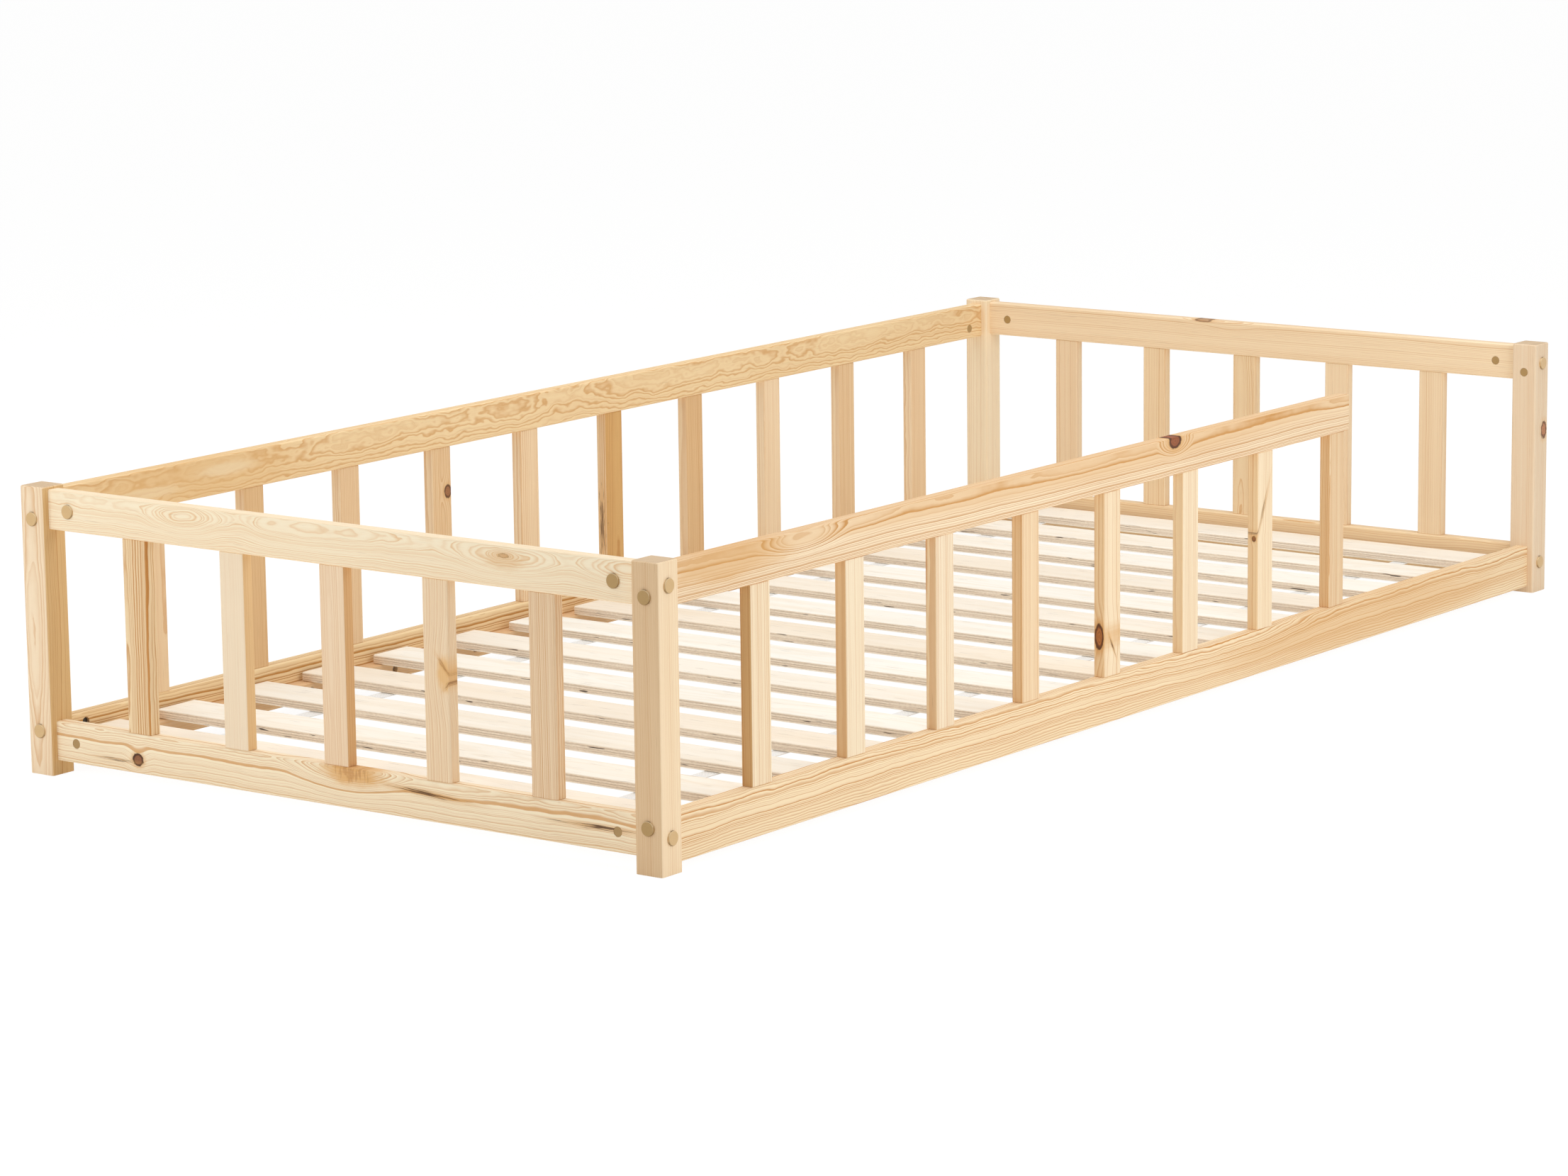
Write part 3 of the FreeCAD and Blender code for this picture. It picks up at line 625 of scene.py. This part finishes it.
RAILS = (
    Board("front_top_rail", "X", (16, 20), ring=2.0, waver=1.8, rate=3.0, curl=0.35, depth=1.15,
          seed=5.5, tint=(2, 2, 3), late=(-10, -12, -12), marks=(
        patch((-100, -480.5, 348), (900, DEEP, 26), 0.45),
        knot((52.4, -480.5, 347.5), (14, DEEP, 9.5), pull=-9.0, rim=0.9, ragged=0.12, stain=0.7,
             colour=srgb(150, 72, 40)),
        eye((-751, -480.5, 342.0), (30, DEEP, 9), pull=-9.0),
        patch((-900, -480.5, 338), (130, DEEP, 26), 0.6))),
    Board("back_top_rail", "X", (-30, 12), ring=3.0, waver=5.0, rate=5.0, curl=2.8, depth=0.75,
          soft=0.7, seed=6.4, tint=(-5, -12, -24), late=(0, -2, -8), mottle=1.8, marks=(
        eye((-6, 461.5, 335), (40, DEEP, 14), pull=7.0),
        patch((-780, 461.5, 330), (230, DEEP, 34), 0.55, colour=srgb(232, 190, 130)),
        patch((-700, 461.5, 334), (60, DEEP, 9), 0.5, colour=srgb(250, 232, 196)),
        patch((-850, 461.5, 322), (70, DEEP, 8), 0.4, colour=srgb(250, 232, 196)))),
    Board("front_bottom_rail", "X", (18, 42), waver=2.6, rate=5.0, curl=0.9, depth=1.25, soft=0.1,
          seed=7.7, tint=(2, 2, -1), late=(-4, -9, -16), marks=(
        eye((205, -480.5, 54), (100, DEEP, 16), pull=-13.0),
        patch((560, -480.5, 38), (420, DEEP, 34), 0.4),
        eye((-190, -480.5, 66), (160, DEEP, 10), pull=-7.0))),
    Board("back_bottom_rail", "X", (-30, 34), ring=3.0, waver=3.0, rate=2.6, curl=0.5, depth=1.3,
          seed=8.2, tint=(-2, -8, -20), late=(-14, -14, -18)),
    Board("left_top_rail", "Y", (-30, 17), ring=1.6, waver=1.8, rate=7.0, curl=1.1, depth=0.72,
          soft=0.6, seed=9.1, tint=(1, 6, 10), late=(16, 22, 24), marks=(
        eye((-1030.5, 224, 336), (DEEP, 26, 10), pull=-12.0),
        eye((-1030.5, 160, 334), (DEEP, 22, 12), pull=5.0),
        knot((-1030.5, -262, 343), (DEEP, 8, 2.6), pull=-6.0, strength=0.35, rim=0.4,
             ragged=0.5, colour=srgb(170, 112, 60)),
        eye((-1030.5, -266, 336), (DEEP, 30, 12), pull=-10.0),
        patch((-1030.5, -262, 338), (DEEP, 34, 13), 0.35),
        eye((-1030.5, -440, 340), (DEEP, 26, 14), pull=-9.0),
        eye((-1030.5, 40, 344), (DEEP, 60, 10), pull=-5.0))),
    Board("left_bottom_rail", "Y", (-26, 28), ring=2.3, waver=3.4, rate=5.0, curl=0.9, depth=0.85,
          seed=10.6, tint=(3, 7, 10), late=(2, 2, 0), marks=(
        knot((-1030.5, 317.3, 35.2), (DEEP, 8.5, 7.5), pull=-7.0, rim=1.0, stain=0.6),
        streak((-1030.5, 352, 31.5), (DEEP, 42, 2.6), strength=0.7),
        eye((-1030.5, -15, 70), (DEEP, 34, 19), pull=-19.0),
        patch((-1030.5, -26, 62), (DEEP, 50, 17), 0.75, colour=srgb(226, 170, 92)),
        streak((-1030.5, -24, 62), (DEEP, 34, 13), fibres=(0.0, 9.0, 0.7), strength=0.4,
               stain=0.3, colour=srgb(176, 108, 48)),
        streak((-1030.5, -140, 51), (DEEP, 66, 4.2), turn=(3, 0, 0), strength=0.85, stain=0.7),
        streak((-1030.5, -395, 44.5), (DEEP, 66, 3.4), strength=0.9, stain=0.7))),
    Board("right_top_rail", "Y", (-26, 80), rate=2.4, depth=0.6, seed=11.2,
          tint=(-1, -4, -6), marks=(
        knot((1011.5, 70, 353.5), (DEEP, 14, 2.4), pull=-4.0, strength=0.5, rim=0.5),
        eye((1011.5, 23, 349), (DEEP, 16, 6), pull=-5.0))),
    Board("right_bottom_rail", "Y", (-40, 50), ring=2.6, waver=3.4, rate=3.0, depth=0.8, seed=12.8,
          tint=(-6, -12, -18)),
)

SHADED = ("X", (246, 234, 216))   # painted shade on the thin side of a front baluster


def row(name, looks):
    """The boards of a row of balusters, numbered from 1."""
    return [Board("%s_%d" % (name, number), "Z", **look) for number, look in enumerate(looks, 1)]


BALUSTERS = (
    *row("front_baluster", (
        dict(heart=(-30, -18), waver=1.6, rate=2.2, depth=0.75, seed=20.1, tint=(0, 2, 4),
             side=("X", (214, 188, 150))),
        dict(heart=(-60, -22), ring=3.0, seed=21.4, tint=(0, 4, 8), side=("X", (236, 212, 182))),
        dict(heart=(70, -24), ring=2.1, waver=1.2, rate=1.2, depth=0.85, seed=22.9,
             tint=(1, 6, 12), side=SHADED),
        dict(heart=(-55, 40), waver=1.6, depth=0.7, seed=23.3, tint=(-6, -12, -16), side=SHADED),
        dict(heart=(46, -36), rate=2.0, depth=0.65, seed=24.8, side=SHADED, marks=(
            knot((-112, -471, 119), (DEEP, 6.2, 16), pull=4.0, rim=0.9, stain=0.8,
                 colour=srgb(190, 116, 58)),
            streak((-94, -479, 107), (18, DEEP, 2.4), turn=(0, 62, 0), strength=0.85, stain=0.7))),
        dict(heart=(58, 20), ring=2.0, waver=1.4, depth=0.7, seed=25.2, tint=(0, 2, 4),
             side=SHADED),
        dict(heart=(-44, 24), ring=2.6, waver=2.2, rate=1.8, depth=0.55, seed=26.6,
             side=SHADED, marks=(
            knot((259.4, -473, 188.7), (DEEP, 3.0, 3.8), pull=2.0, rim=0.9),
            streak((273, -479, 226), (40, DEEP, 3.2), turn=(0, -68, 0), strength=0.6, stain=0.5))),
        dict(heart=(-26, -20), ring=2.6, waver=3.0, rate=2.6, depth=0.95, seed=27.1,
             tint=(-12, -18, -22), side=SHADED))),
    *row("left_baluster", (
        dict(heart=(34, 70), ring=1.7, waver=1.2, rate=1.6, tilt=(1.6, 0.0), depth=0.95, seed=28.4,
             tint=(-12, -17, -18), late=(-10, -14, -14)),
        dict(heart=(-60, 40), ring=1.8, waver=1.4, rate=1.6, depth=0.65, seed=29.8,
             tint=(-8, -12, -12), marks=(
            patch((-1029, -169, 195), (DEEP, 12, 22), 0.75, colour=srgb(232, 182, 112),
                  pull=5.0),
            streak((-1029, -169, 203), (DEEP, 18, 3.2), turn=(51, 0, 0), strength=0.6,
                   stain=0.5, colour=srgb(160, 100, 44)),
            streak((-1029, -175, 184), (DEEP, 13, 3.0), turn=(-45, 0, 0), strength=0.7,
                   stain=0.4, colour=srgb(140, 84, 36)))),
        dict(heart=(-18, 4), ring=1.9, waver=2.2, rate=3.0, soft=0.5, seed=30.2,
             tint=(-7, -12, -10), side=("Y", (236, 212, 176))),
        dict(heart=(-80, 66), ring=1.8, waver=1.2, rate=1.2, depth=0.22, seed=31.9,
             tint=(-7, -6, -1), side=("Y", (250, 230, 196))),
        dict(heart=(-18, 16), ring=2.9, waver=3.0, rate=3.4, curl=0.6, depth=1.3, seed=32.5,
             tint=(-10, -16, -24), late=(-14, -18, -20)))),
    *row("right_baluster", (
        dict(heart=(-20, 60), ring=2.2, waver=1.6, depth=0.6, seed=33.3, tint=(-6, -10, -12)),
        dict(heart=(30, 70), ring=2.0, waver=1.4, seed=34.6, tint=(-4, -8, -10)),
        dict(heart=(-18, 4), ring=2.6, waver=4.0, rate=4.0, curl=1.2, depth=0.7, soft=0.5,
             seed=35.1, tint=(-10, -16, -22)),
        dict(heart=(-24, -66), ring=2.2, waver=1.6, depth=0.7, seed=36.7, tint=(-4, -8, -12)),
        dict(heart=(-60, 60), ring=2.2, waver=1.4, depth=0.45, seed=37.9, tint=(-10, -16, -18)))),
)

# The ledgers' strong dark tints are painted shade, for the shadow under the slats.
LEDGERS = (
    Board("front_ledger", "X", (-30, 60), rate=2.0, seed=40.0, tint=(-20, -34, -40)),
    Board("back_ledger", "X", (50, 44), rate=2.0, seed=41.0, tint=(-30, -46, -54)),
)


# --- Pieces ---
class DressOperator:
    """What every operator of this bed shares."""
    bl_options = {"REGISTER", "UNDO"}


class FLOORBED_OT_groups(DressOperator, Operator):
    """Build the shader groups that the materials share"""
    bl_idname = "floorbed.groups"
    bl_label = "Shader groups"

    def execute(self, context):
        build_growth_rings()
        build_grain_mark()
        build_resin_streak()
        build_plywood()
        build_fitting_skin()
        return {"FINISHED"}


class FLOORBED_OT_posts(DressOperator, Operator):
    """Give the four posts their pine"""
    bl_idname = "floorbed.posts"
    bl_label = "Posts"

    def execute(self, context):
        dress_boards(POSTS, context)
        return {"FINISHED"}


class FLOORBED_OT_rails(DressOperator, Operator):
    """Give the eight rails their pine, each with its own knots and figure"""
    bl_idname = "floorbed.rails"
    bl_label = "Rails"

    def execute(self, context):
        dress_boards(RAILS, context)
        return {"FINISHED"}


BACK_BALUSTERS = 10
BACK_BALUSTER_WIDTH = 38.0
BACK_SEED = 50.0
BACK_TINT = (-3, -8, -10)
# How golden each runs, from the left
BACK_GOLD = (0.27, 0.62, 0.27, 0.42, 0.05, 1.0, 0.6, 0.0, 0.37, 0.22)
BACK_MARKS = (
    knot((-267, 463, 243), (7, DEEP, 9), pull=3.0, strength=0.8, colour=srgb(150, 84, 44)),
    streak((74, 471, 150), (8, 7, 60), strength=0.7, stain=0.5, fibres=(0.0, 4.0, 2.4)),
)


def back_row_material(settings):
    """Pine for balusters that are one node: each takes its log from its place in the row."""
    wood = Surface("Pine of back_balusters", settings.early_wood)
    low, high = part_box("back_balusters")
    last = BACK_BALUSTERS - 1
    start = low[0] + BACK_BALUSTER_WIDTH * MM / 2
    pitch = (high[0] - low[0] - BACK_BALUSTER_WIDTH * MM) / last
    x, y, z = wood.split(wood.place)
    number = wood.math("ROUND", wood.math("DIVIDE", wood.math("SUBTRACT", x, start), pitch))
    centre = wood.math("MULTIPLY_ADD", number, pitch, start)
    luck = wood.node("TexWhiteNoise", {"W": wood.math("ADD", number, 11.0)},
                     noise_dimensions="1D").outputs["Color"]
    red, green, blue = wood.node("SeparateColor", {0: luck}).outputs
    # Each log's heart lies within 60 mm to either side, and 50 mm to the front or back
    beside = wood.math("SUBTRACT", x, centre)
    beside = wood.math("ADD", beside, wood.fit(red, 0.0, 1.0, -0.06, 0.06))
    behind = wood.math("SUBTRACT", y, (low[1] + high[1]) / 2)
    behind = wood.math("ADD", behind, wood.fit(green, 0.0, 1.0, -0.05, 0.05))
    pull, shapes = place_marks(wood, BACK_MARKS, BACK_SEED)
    pine = wood.group("Growth rings", {
        "Place": wood.join(z, beside, behind),
        "Normal": wood.join(wood.split(wood.normal)[2], 0.0, 0.0),
        "Seed": wood.math("MULTIPLY_ADD", number, 1.37, BACK_SEED),
        "Ring Width": wood.fit(blue, 0.0, 1.0, 0.0018, 0.0032), "Waver": 0.0024,
        "Wave Rate": 2.2, "Pull": pull, "Depth": wood.fit(green, 0.0, 1.0, 0.4, 0.85),
        "Fibre": settings.fibre, "Mottle": settings.mottle,
        "Early Wood": shifted(settings.early_wood, BACK_TINT),
        "Late Wood": settings.late_wood})
    gold_and_side_light = wood.steps(wood.math("DIVIDE", number, last),
                      [(index / last, amount) for index, amount in enumerate(BACK_GOLD)])
    # Painted light and shade by face: faces that look along X keep only a third of the gold, so
    # they read paler than the faces across X.
    gold_and_side_light = wood.times(gold_and_side_light, faces_along(wood, "X", across=1.0, along=0.35))
    colour = wood.mix(gold_and_side_light, pine["Colour"], wood.tint(pine["Colour"], GOLDEN_WOOD))
    colour = paint_marks(wood, colour, shapes, settings)
    return wood.finish(pine, settings.relief, colour, PINE_GLOSS)


class FLOORBED_OT_balusters(DressOperator, Operator):
    """Give the balusters their pine"""
    bl_idname = "floorbed.balusters"
    bl_label = "Balusters"

    def execute(self, context):
        dress_boards(BALUSTERS, context)
        dress("back_balusters", back_row_material(context.scene.floorbed_pine))
        return {"FINISHED"}


class FLOORBED_OT_ledgers(DressOperator, Operator):
    """Give the two ledgers their pine"""
    bl_idname = "floorbed.ledgers"
    bl_label = "Ledgers"

    def execute(self, context):
        dress_boards(LEDGERS, context)
        return {"FINISHED"}


SLAT_WARMTH = (0.25, 0.1, 0.15, 0.3, 0.05, 0.15, 0.0, 0.3, 0.05, 0.2, 0.0, 0.25, 0.05, 0.1, 0.15)
SLAT_SEED_STEP = 1.7
VENEER_RELIEF = 0.0002    # metres


class FLOORBED_OT_slats(DressOperator, Operator):
    """Give the plywood slats their veneer and layered edges"""
    bl_idname = "floorbed.slats"
    bl_label = "Slats"

    def execute(self, context):
        settings = context.scene.floorbed_plywood
        for number, warmth in enumerate(SLAT_WARMTH, 1):
            node = "slat_%02d" % number
            low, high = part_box(node)
            slat = Surface("Plywood of " + node, settings.face)
            ply = slat.group("Plywood", {
                "Place": slat.place, "Normal": slat.normal, "Seed": number * SLAT_SEED_STEP,
                "Underside": low[2], "Thickness": high[2] - low[2], "Warmth": warmth,
                "Figure": 0.3 + 0.5 * (number % 3) / 2, "Face": settings.face,
                "Streak": settings.streak, "Long Ply": settings.long_ply,
                "Cross Ply": settings.cross_ply, "Glue": settings.glue})
            dress(node, slat.finish(ply, VENEER_RELIEF, gloss=PLYWOOD_GLOSS))
        return {"FINISHED"}


# Metres
FITTING_RELIEF = 0.00003
BEECH_RELIEF = 0.0001
WEAVE_RELIEF = 0.0004
WEAVE_ACROSS = 0.0026     # between the webbing's cords
WEAVE_ALONG = 0.0020      # between its threads
FRONT_CAPS = -0.4895      # only the caps on the front's outer faces lie past this
END_CAPS = (-0.43, 0.42)  # caps on the ends go from darker to paler between these

# Repeats per metre
MOULDED_GRAIN = 900.0
PLATED_GRAIN = 1500.0
BEECH_GRAIN = 1100.0


def fitting_material(name, colour, metallic=0.0, grain=MOULDED_GRAIN, drift=0.1,
                     relief=FITTING_RELIEF):
    """A small fitting's finish: one colour with a faint texture."""
    fitting = Surface(name, colour)
    skin = fitting.group("Fitting skin", {"Place": fitting.place, "Colour": colour, "Grain": grain,
                                          "Drift": drift})
    fitting.shader.inputs["Metallic"].default_value = metallic
    return fitting.finish(skin, relief)


def cap_material(settings):
    """Moulded caps: paler towards the back and on the front, with a rim that rolls over and painted
    light and shade.
    """
    cap = Surface("Tan cap", settings.cap)
    y = cap.split(cap.place)[1]
    paler = cap.math("MAXIMUM", cap.fit(y, *END_CAPS), cap.math("LESS_THAN", y, FRONT_CAPS))
    skin = cap.group("Fitting skin", {
        "Place": cap.place, "Colour": cap.mix(paler, settings.cap, settings.pale_cap),
        "Grain": MOULDED_GRAIN, "Drift": 0.1})
    across, along, up = cap.split(cap.normal)
    outwards = cap.math("MAXIMUM", cap.math("ABSOLUTE", across), cap.math("ABSOLUTE", along))
    rolled = cap.fit(outwards, 0.99, 0.85, smooth=True)
    # Painted highlight on the upper part of the rolled rim, painted shade on its lower part.
    rim = cap.mix(cap.fit(up, -0.4, 0.4), CAP_RIM_PAINTED_SHADE, CAP_RIM_PAINTED_HIGHLIGHT)
    colour = cap.lay(rolled, 0.7, rim, skin["Colour"])
    # Painted shade on the wall at the cap's foot, where it meets the wood.
    colour = cap.mix(cap.fit(outwards, 0.55, 0.3, to_high=0.8, smooth=True), colour, CAP_FOOT_PAINTED_SHADE)
    return cap.finish(skin, FITTING_RELIEF, colour)


def webbing_material(settings):
    """White webbing in a plain weave, its cords standing over the threads along the band, with
    painted shade in the weave's hollows.
    """
    band = Surface("White webbing", settings.webbing)
    x, y, z = band.split(band.place)
    across = band.math("SINE", band.times(x, 2 * math.pi / WEAVE_ACROSS))
    along = band.math("SINE", band.times(y, 2 * math.pi / WEAVE_ALONG))
    weave = band.fit(band.times(across, along), -1.0, 1.0)
    fuzz = band.noise(band.place, (2600.0, 2600.0, 2600.0))
    height = band.math("MULTIPLY_ADD", fuzz, 0.3, weave)
    # Painted shade: the hollows of the weave are tinted grey.
    valley_shade = band.tint(settings.webbing, WEAVE_VALLEY_SHADE)
    skin = {"Colour": band.mix(band.fit(height, 0.1, 0.9), valley_shade, settings.webbing),
            "Roughness": band.fit(fuzz, 0.0, 1.0, 0.7, 0.9), "Relief": height}
    return band.finish(skin, WEAVE_RELIEF)


class FLOORBED_OT_fittings(DressOperator, Operator):
    """Give caps, plugs, bolts, nuts, screws, dowels, pins, staples and webbing their finishes"""
    bl_idname = "floorbed.fittings"
    bl_label = "Fittings"

    def execute(self, context):
        settings = context.scene.floorbed_fittings
        plated = {"grain": PLATED_GRAIN, "drift": 0.3}
        zinc = fitting_material("Zinc plate", settings.zinc, metallic=0.9, **plated)
        beech = fitting_material("Beech dowel", settings.beech, grain=BEECH_GRAIN, drift=0.4,
                                 relief=BEECH_RELIEF)
        webbing = webbing_material(settings)
        finishes = {
            "cover_caps": cap_material(settings),
            "flush_plugs": fitting_material("Tan plug", settings.plug, drift=0.25),
            "frame_bolts": zinc,
            "ledger_screws": zinc,
            # Painted shade: the nuts are darkened so that their holes read dark.
            "barrel_nuts": fitting_material("Dark zinc", settings.nut, metallic=0.8, **plated),
            "webbing_staples": fitting_material("Staple wire", settings.wire, metallic=0.9,
                                                drift=0.2),
            "rail_dowels": beech,
            "baluster_pins": beech,
            "front_webbing_band": webbing,
            "back_webbing_band": webbing,
        }
        for node, material in finishes.items():
            dress(node, material)
        return {"FINISHED"}


# --- Stage ---
CAMERA_PLACE = (-5.435, -3.905, 1.373)
CAMERA_AZIMUTH = -53.59
CAMERA_ELEVATION = 10.63
CAMERA_ROLL = -0.68
CAMERA_SENSOR = 36.0      # millimetres
CAMERA_REACH = 200.0
FLOOR_REACH = 40.0        # from the middle to an edge
FLOOR_WHITE = 0.94        # strength of the floor's own white, as the camera sees it
SOFT_BOXES = (            # name, place, the point that it faces, width and length, its power
    ("Top soft box", (0.2, 0.2, 3.0), (0.0, 0.0, 0.0), (4.2, 3.0), "top_light"),
    ("Left soft box", (-2.4, 0.6, 0.9), (-1.0, 0.1, 0.2), (1.2, 1.2), "left_light"),
    ("Front soft box", (-0.3, -2.7, 1.3), (0.0, -0.4, 0.2), (1.6, 1.3), "front_light"),
)


def make_soft_box(scene, name, place, aim, size, power):
    """A large rectangular lamp turned towards a point."""
    lamp = bpy.data.lights.new(name, "AREA")
    lamp.shape = "RECTANGLE"
    lamp.size, lamp.size_y = size
    lamp.energy = power
    box = bpy.data.objects.new(name, lamp)
    box.location = place
    box.rotation_euler = (Vector(aim) - Vector(place)).to_track_quat("-Z", "Y").to_euler()
    box.visible_camera = False
    scene.collection.objects.link(box)


def make_floor(scene, settings):
    """A wide floor that looks white and keeps a faint shadow of the bed."""
    mesh = bpy.data.meshes.new("Floor")
    corners = [(-1, -1), (1, -1), (1, 1), (-1, 1)]
    mesh.from_pydata([(x * FLOOR_REACH, y * FLOOR_REACH, 0) for x, y in corners], [],
                     [(0, 1, 2, 3)])
    floor = bpy.data.objects.new("Floor", mesh)
    scene.collection.objects.link(floor)
    pale = Surface("Pale floor", settings.floor)
    speckle = pale.noise(pale.place, (90.0, 90.0, 90.0), detail=3.0)
    tint = pale.lay(speckle, 0.05, FLOOR_SPECKLE, settings.floor)
    pale.feed(pale.shader.inputs["Base Color"], tint)
    pale.shader.inputs["Roughness"].default_value = 0.9
    pale.shader.inputs["Specular IOR Level"].default_value = FLOOR_GLOSS
    shade = pale.node("BsdfDiffuse", {"Color": FLOOR_SHADE})
    white = pale.node("Emission", {"Color": WHITE, "Strength": FLOOR_WHITE})
    seen = pale.node("AddShader", {0: shade.outputs[0], 1: white.outputs[0]})
    glow = pale.node("Emission", {"Color": WHITE, "Strength": settings.floor_glow})
    lit = pale.node("AddShader", {0: pale.shader.outputs[0], 1: glow.outputs[0]})
    path = pale.node("LightPath").outputs
    watched = pale.math("MAXIMUM", path["Is Camera Ray"], path["Is Glossy Ray"])
    watched = pale.math("MAXIMUM", watched, path["Is Transmission Ray"])
    both = pale.node("MixShader", {0: watched, 1: lit.outputs[0], 2: seen.outputs[0]})
    pale.feed(pale.tree.nodes["Material Output"].inputs["Surface"], both.outputs[0])
    mesh.materials.append(pale.material)


def make_world(scene, settings):
    """Even white light, and a white backdrop where the camera looks past the bed."""
    world = bpy.data.worlds.new("Studio")
    world.use_nodes = True
    scene.world = world
    graph = Graph(world.node_tree)
    light = graph.tree.nodes["Background"]
    light.inputs["Color"].default_value = WHITE
    light.inputs["Strength"].default_value = settings.ambient
    backdrop = graph.node("Background", {"Color": WHITE, "Strength": 1.0})
    path = graph.node("LightPath").outputs
    watched = graph.math("MAXIMUM", path["Is Camera Ray"], path["Is Transmission Ray"])
    both = graph.node("MixShader", {0: watched, 1: light.outputs[0], 2: backdrop.outputs[0]})
    graph.feed(graph.tree.nodes["World Output"].inputs["Surface"], both.outputs[0])


def make_camera(scene, settings):
    """The camera at the photograph's place."""
    data = bpy.data.cameras.new("Camera")
    data.sensor_width = CAMERA_SENSOR
    data.sensor_fit = "HORIZONTAL"
    data.lens = settings.lens
    data.clip_end = CAMERA_REACH
    camera = bpy.data.objects.new("Camera", data)
    scene.collection.objects.link(camera)
    turn = Matrix.Rotation(math.radians(CAMERA_AZIMUTH), 4, "Z")
    nod = Matrix.Rotation(math.radians(90.0 - CAMERA_ELEVATION), 4, "X")
    roll = Matrix.Rotation(math.radians(CAMERA_ROLL), 4, "Z")
    camera.matrix_world = Matrix.Translation(CAMERA_PLACE) @ turn @ nod @ roll
    scene.camera = camera


class FLOORBED_OT_stage(DressOperator, Operator):
    """Set up the pale floor, the soft lamps and the camera"""
    bl_idname = "floorbed.stage"
    bl_label = "Stage"

    def execute(self, context):
        scene = context.scene
        settings = scene.floorbed_stage
        make_floor(scene, settings)
        make_world(scene, settings)
        for name, place, aim, size, power in SOFT_BOXES:
            make_soft_box(scene, name, place, aim, size, getattr(settings, power))
        make_camera(scene, settings)
        scene.view_settings.view_transform = "Standard"
        return {"FINISHED"}


PROPERTY_GROUPS = {
    "floorbed_pine": FLOORBED_PG_pine,
    "floorbed_plywood": FLOORBED_PG_plywood,
    "floorbed_fittings": FLOORBED_PG_fittings,
    "floorbed_stage": FLOORBED_PG_stage,
}

OPERATORS = (
    FLOORBED_OT_groups,
    FLOORBED_OT_posts,
    FLOORBED_OT_rails,
    FLOORBED_OT_balusters,
    FLOORBED_OT_ledgers,
    FLOORBED_OT_slats,
    FLOORBED_OT_fittings,
    FLOORBED_OT_stage,
)


class FLOORBED_PT_panel(Panel):
    """The bed's colours, lights and making"""
    bl_idname = "FLOORBED_PT_panel"
    bl_label = "Floor bed"
    bl_space_type = "VIEW_3D"
    bl_region_type = "UI"
    bl_category = "Floor Bed"

    def draw(self, context):
        layout = self.layout
        for operator in OPERATORS:
            layout.operator(operator.bl_idname)
        for name, group in PROPERTY_GROUPS.items():
            box = layout.box()
            box.label(text=group.__doc__)
            settings = getattr(context.scene, name)
            for prop in group.__annotations__:
                box.prop(settings, prop)


def register():
    for name, group in PROPERTY_GROUPS.items():
        bpy.utils.register_class(group)
        setattr(bpy.types.Scene, name, PointerProperty(type=group))
    for operator in OPERATORS:
        bpy.utils.register_class(operator)
    bpy.utils.register_class(FLOORBED_PT_panel)


def unregister():
    bpy.utils.unregister_class(FLOORBED_PT_panel)
    for operator in reversed(OPERATORS):
        bpy.utils.unregister_class(operator)
    for name, group in PROPERTY_GROUPS.items():
        delattr(bpy.types.Scene, name)
        bpy.utils.unregister_class(group)


def main():
    register()
    for operator in OPERATORS:
        family, name = operator.bl_idname.split(".")
        getattr(getattr(bpy.ops, family), name)()


if __name__ == "__main__":
    main()
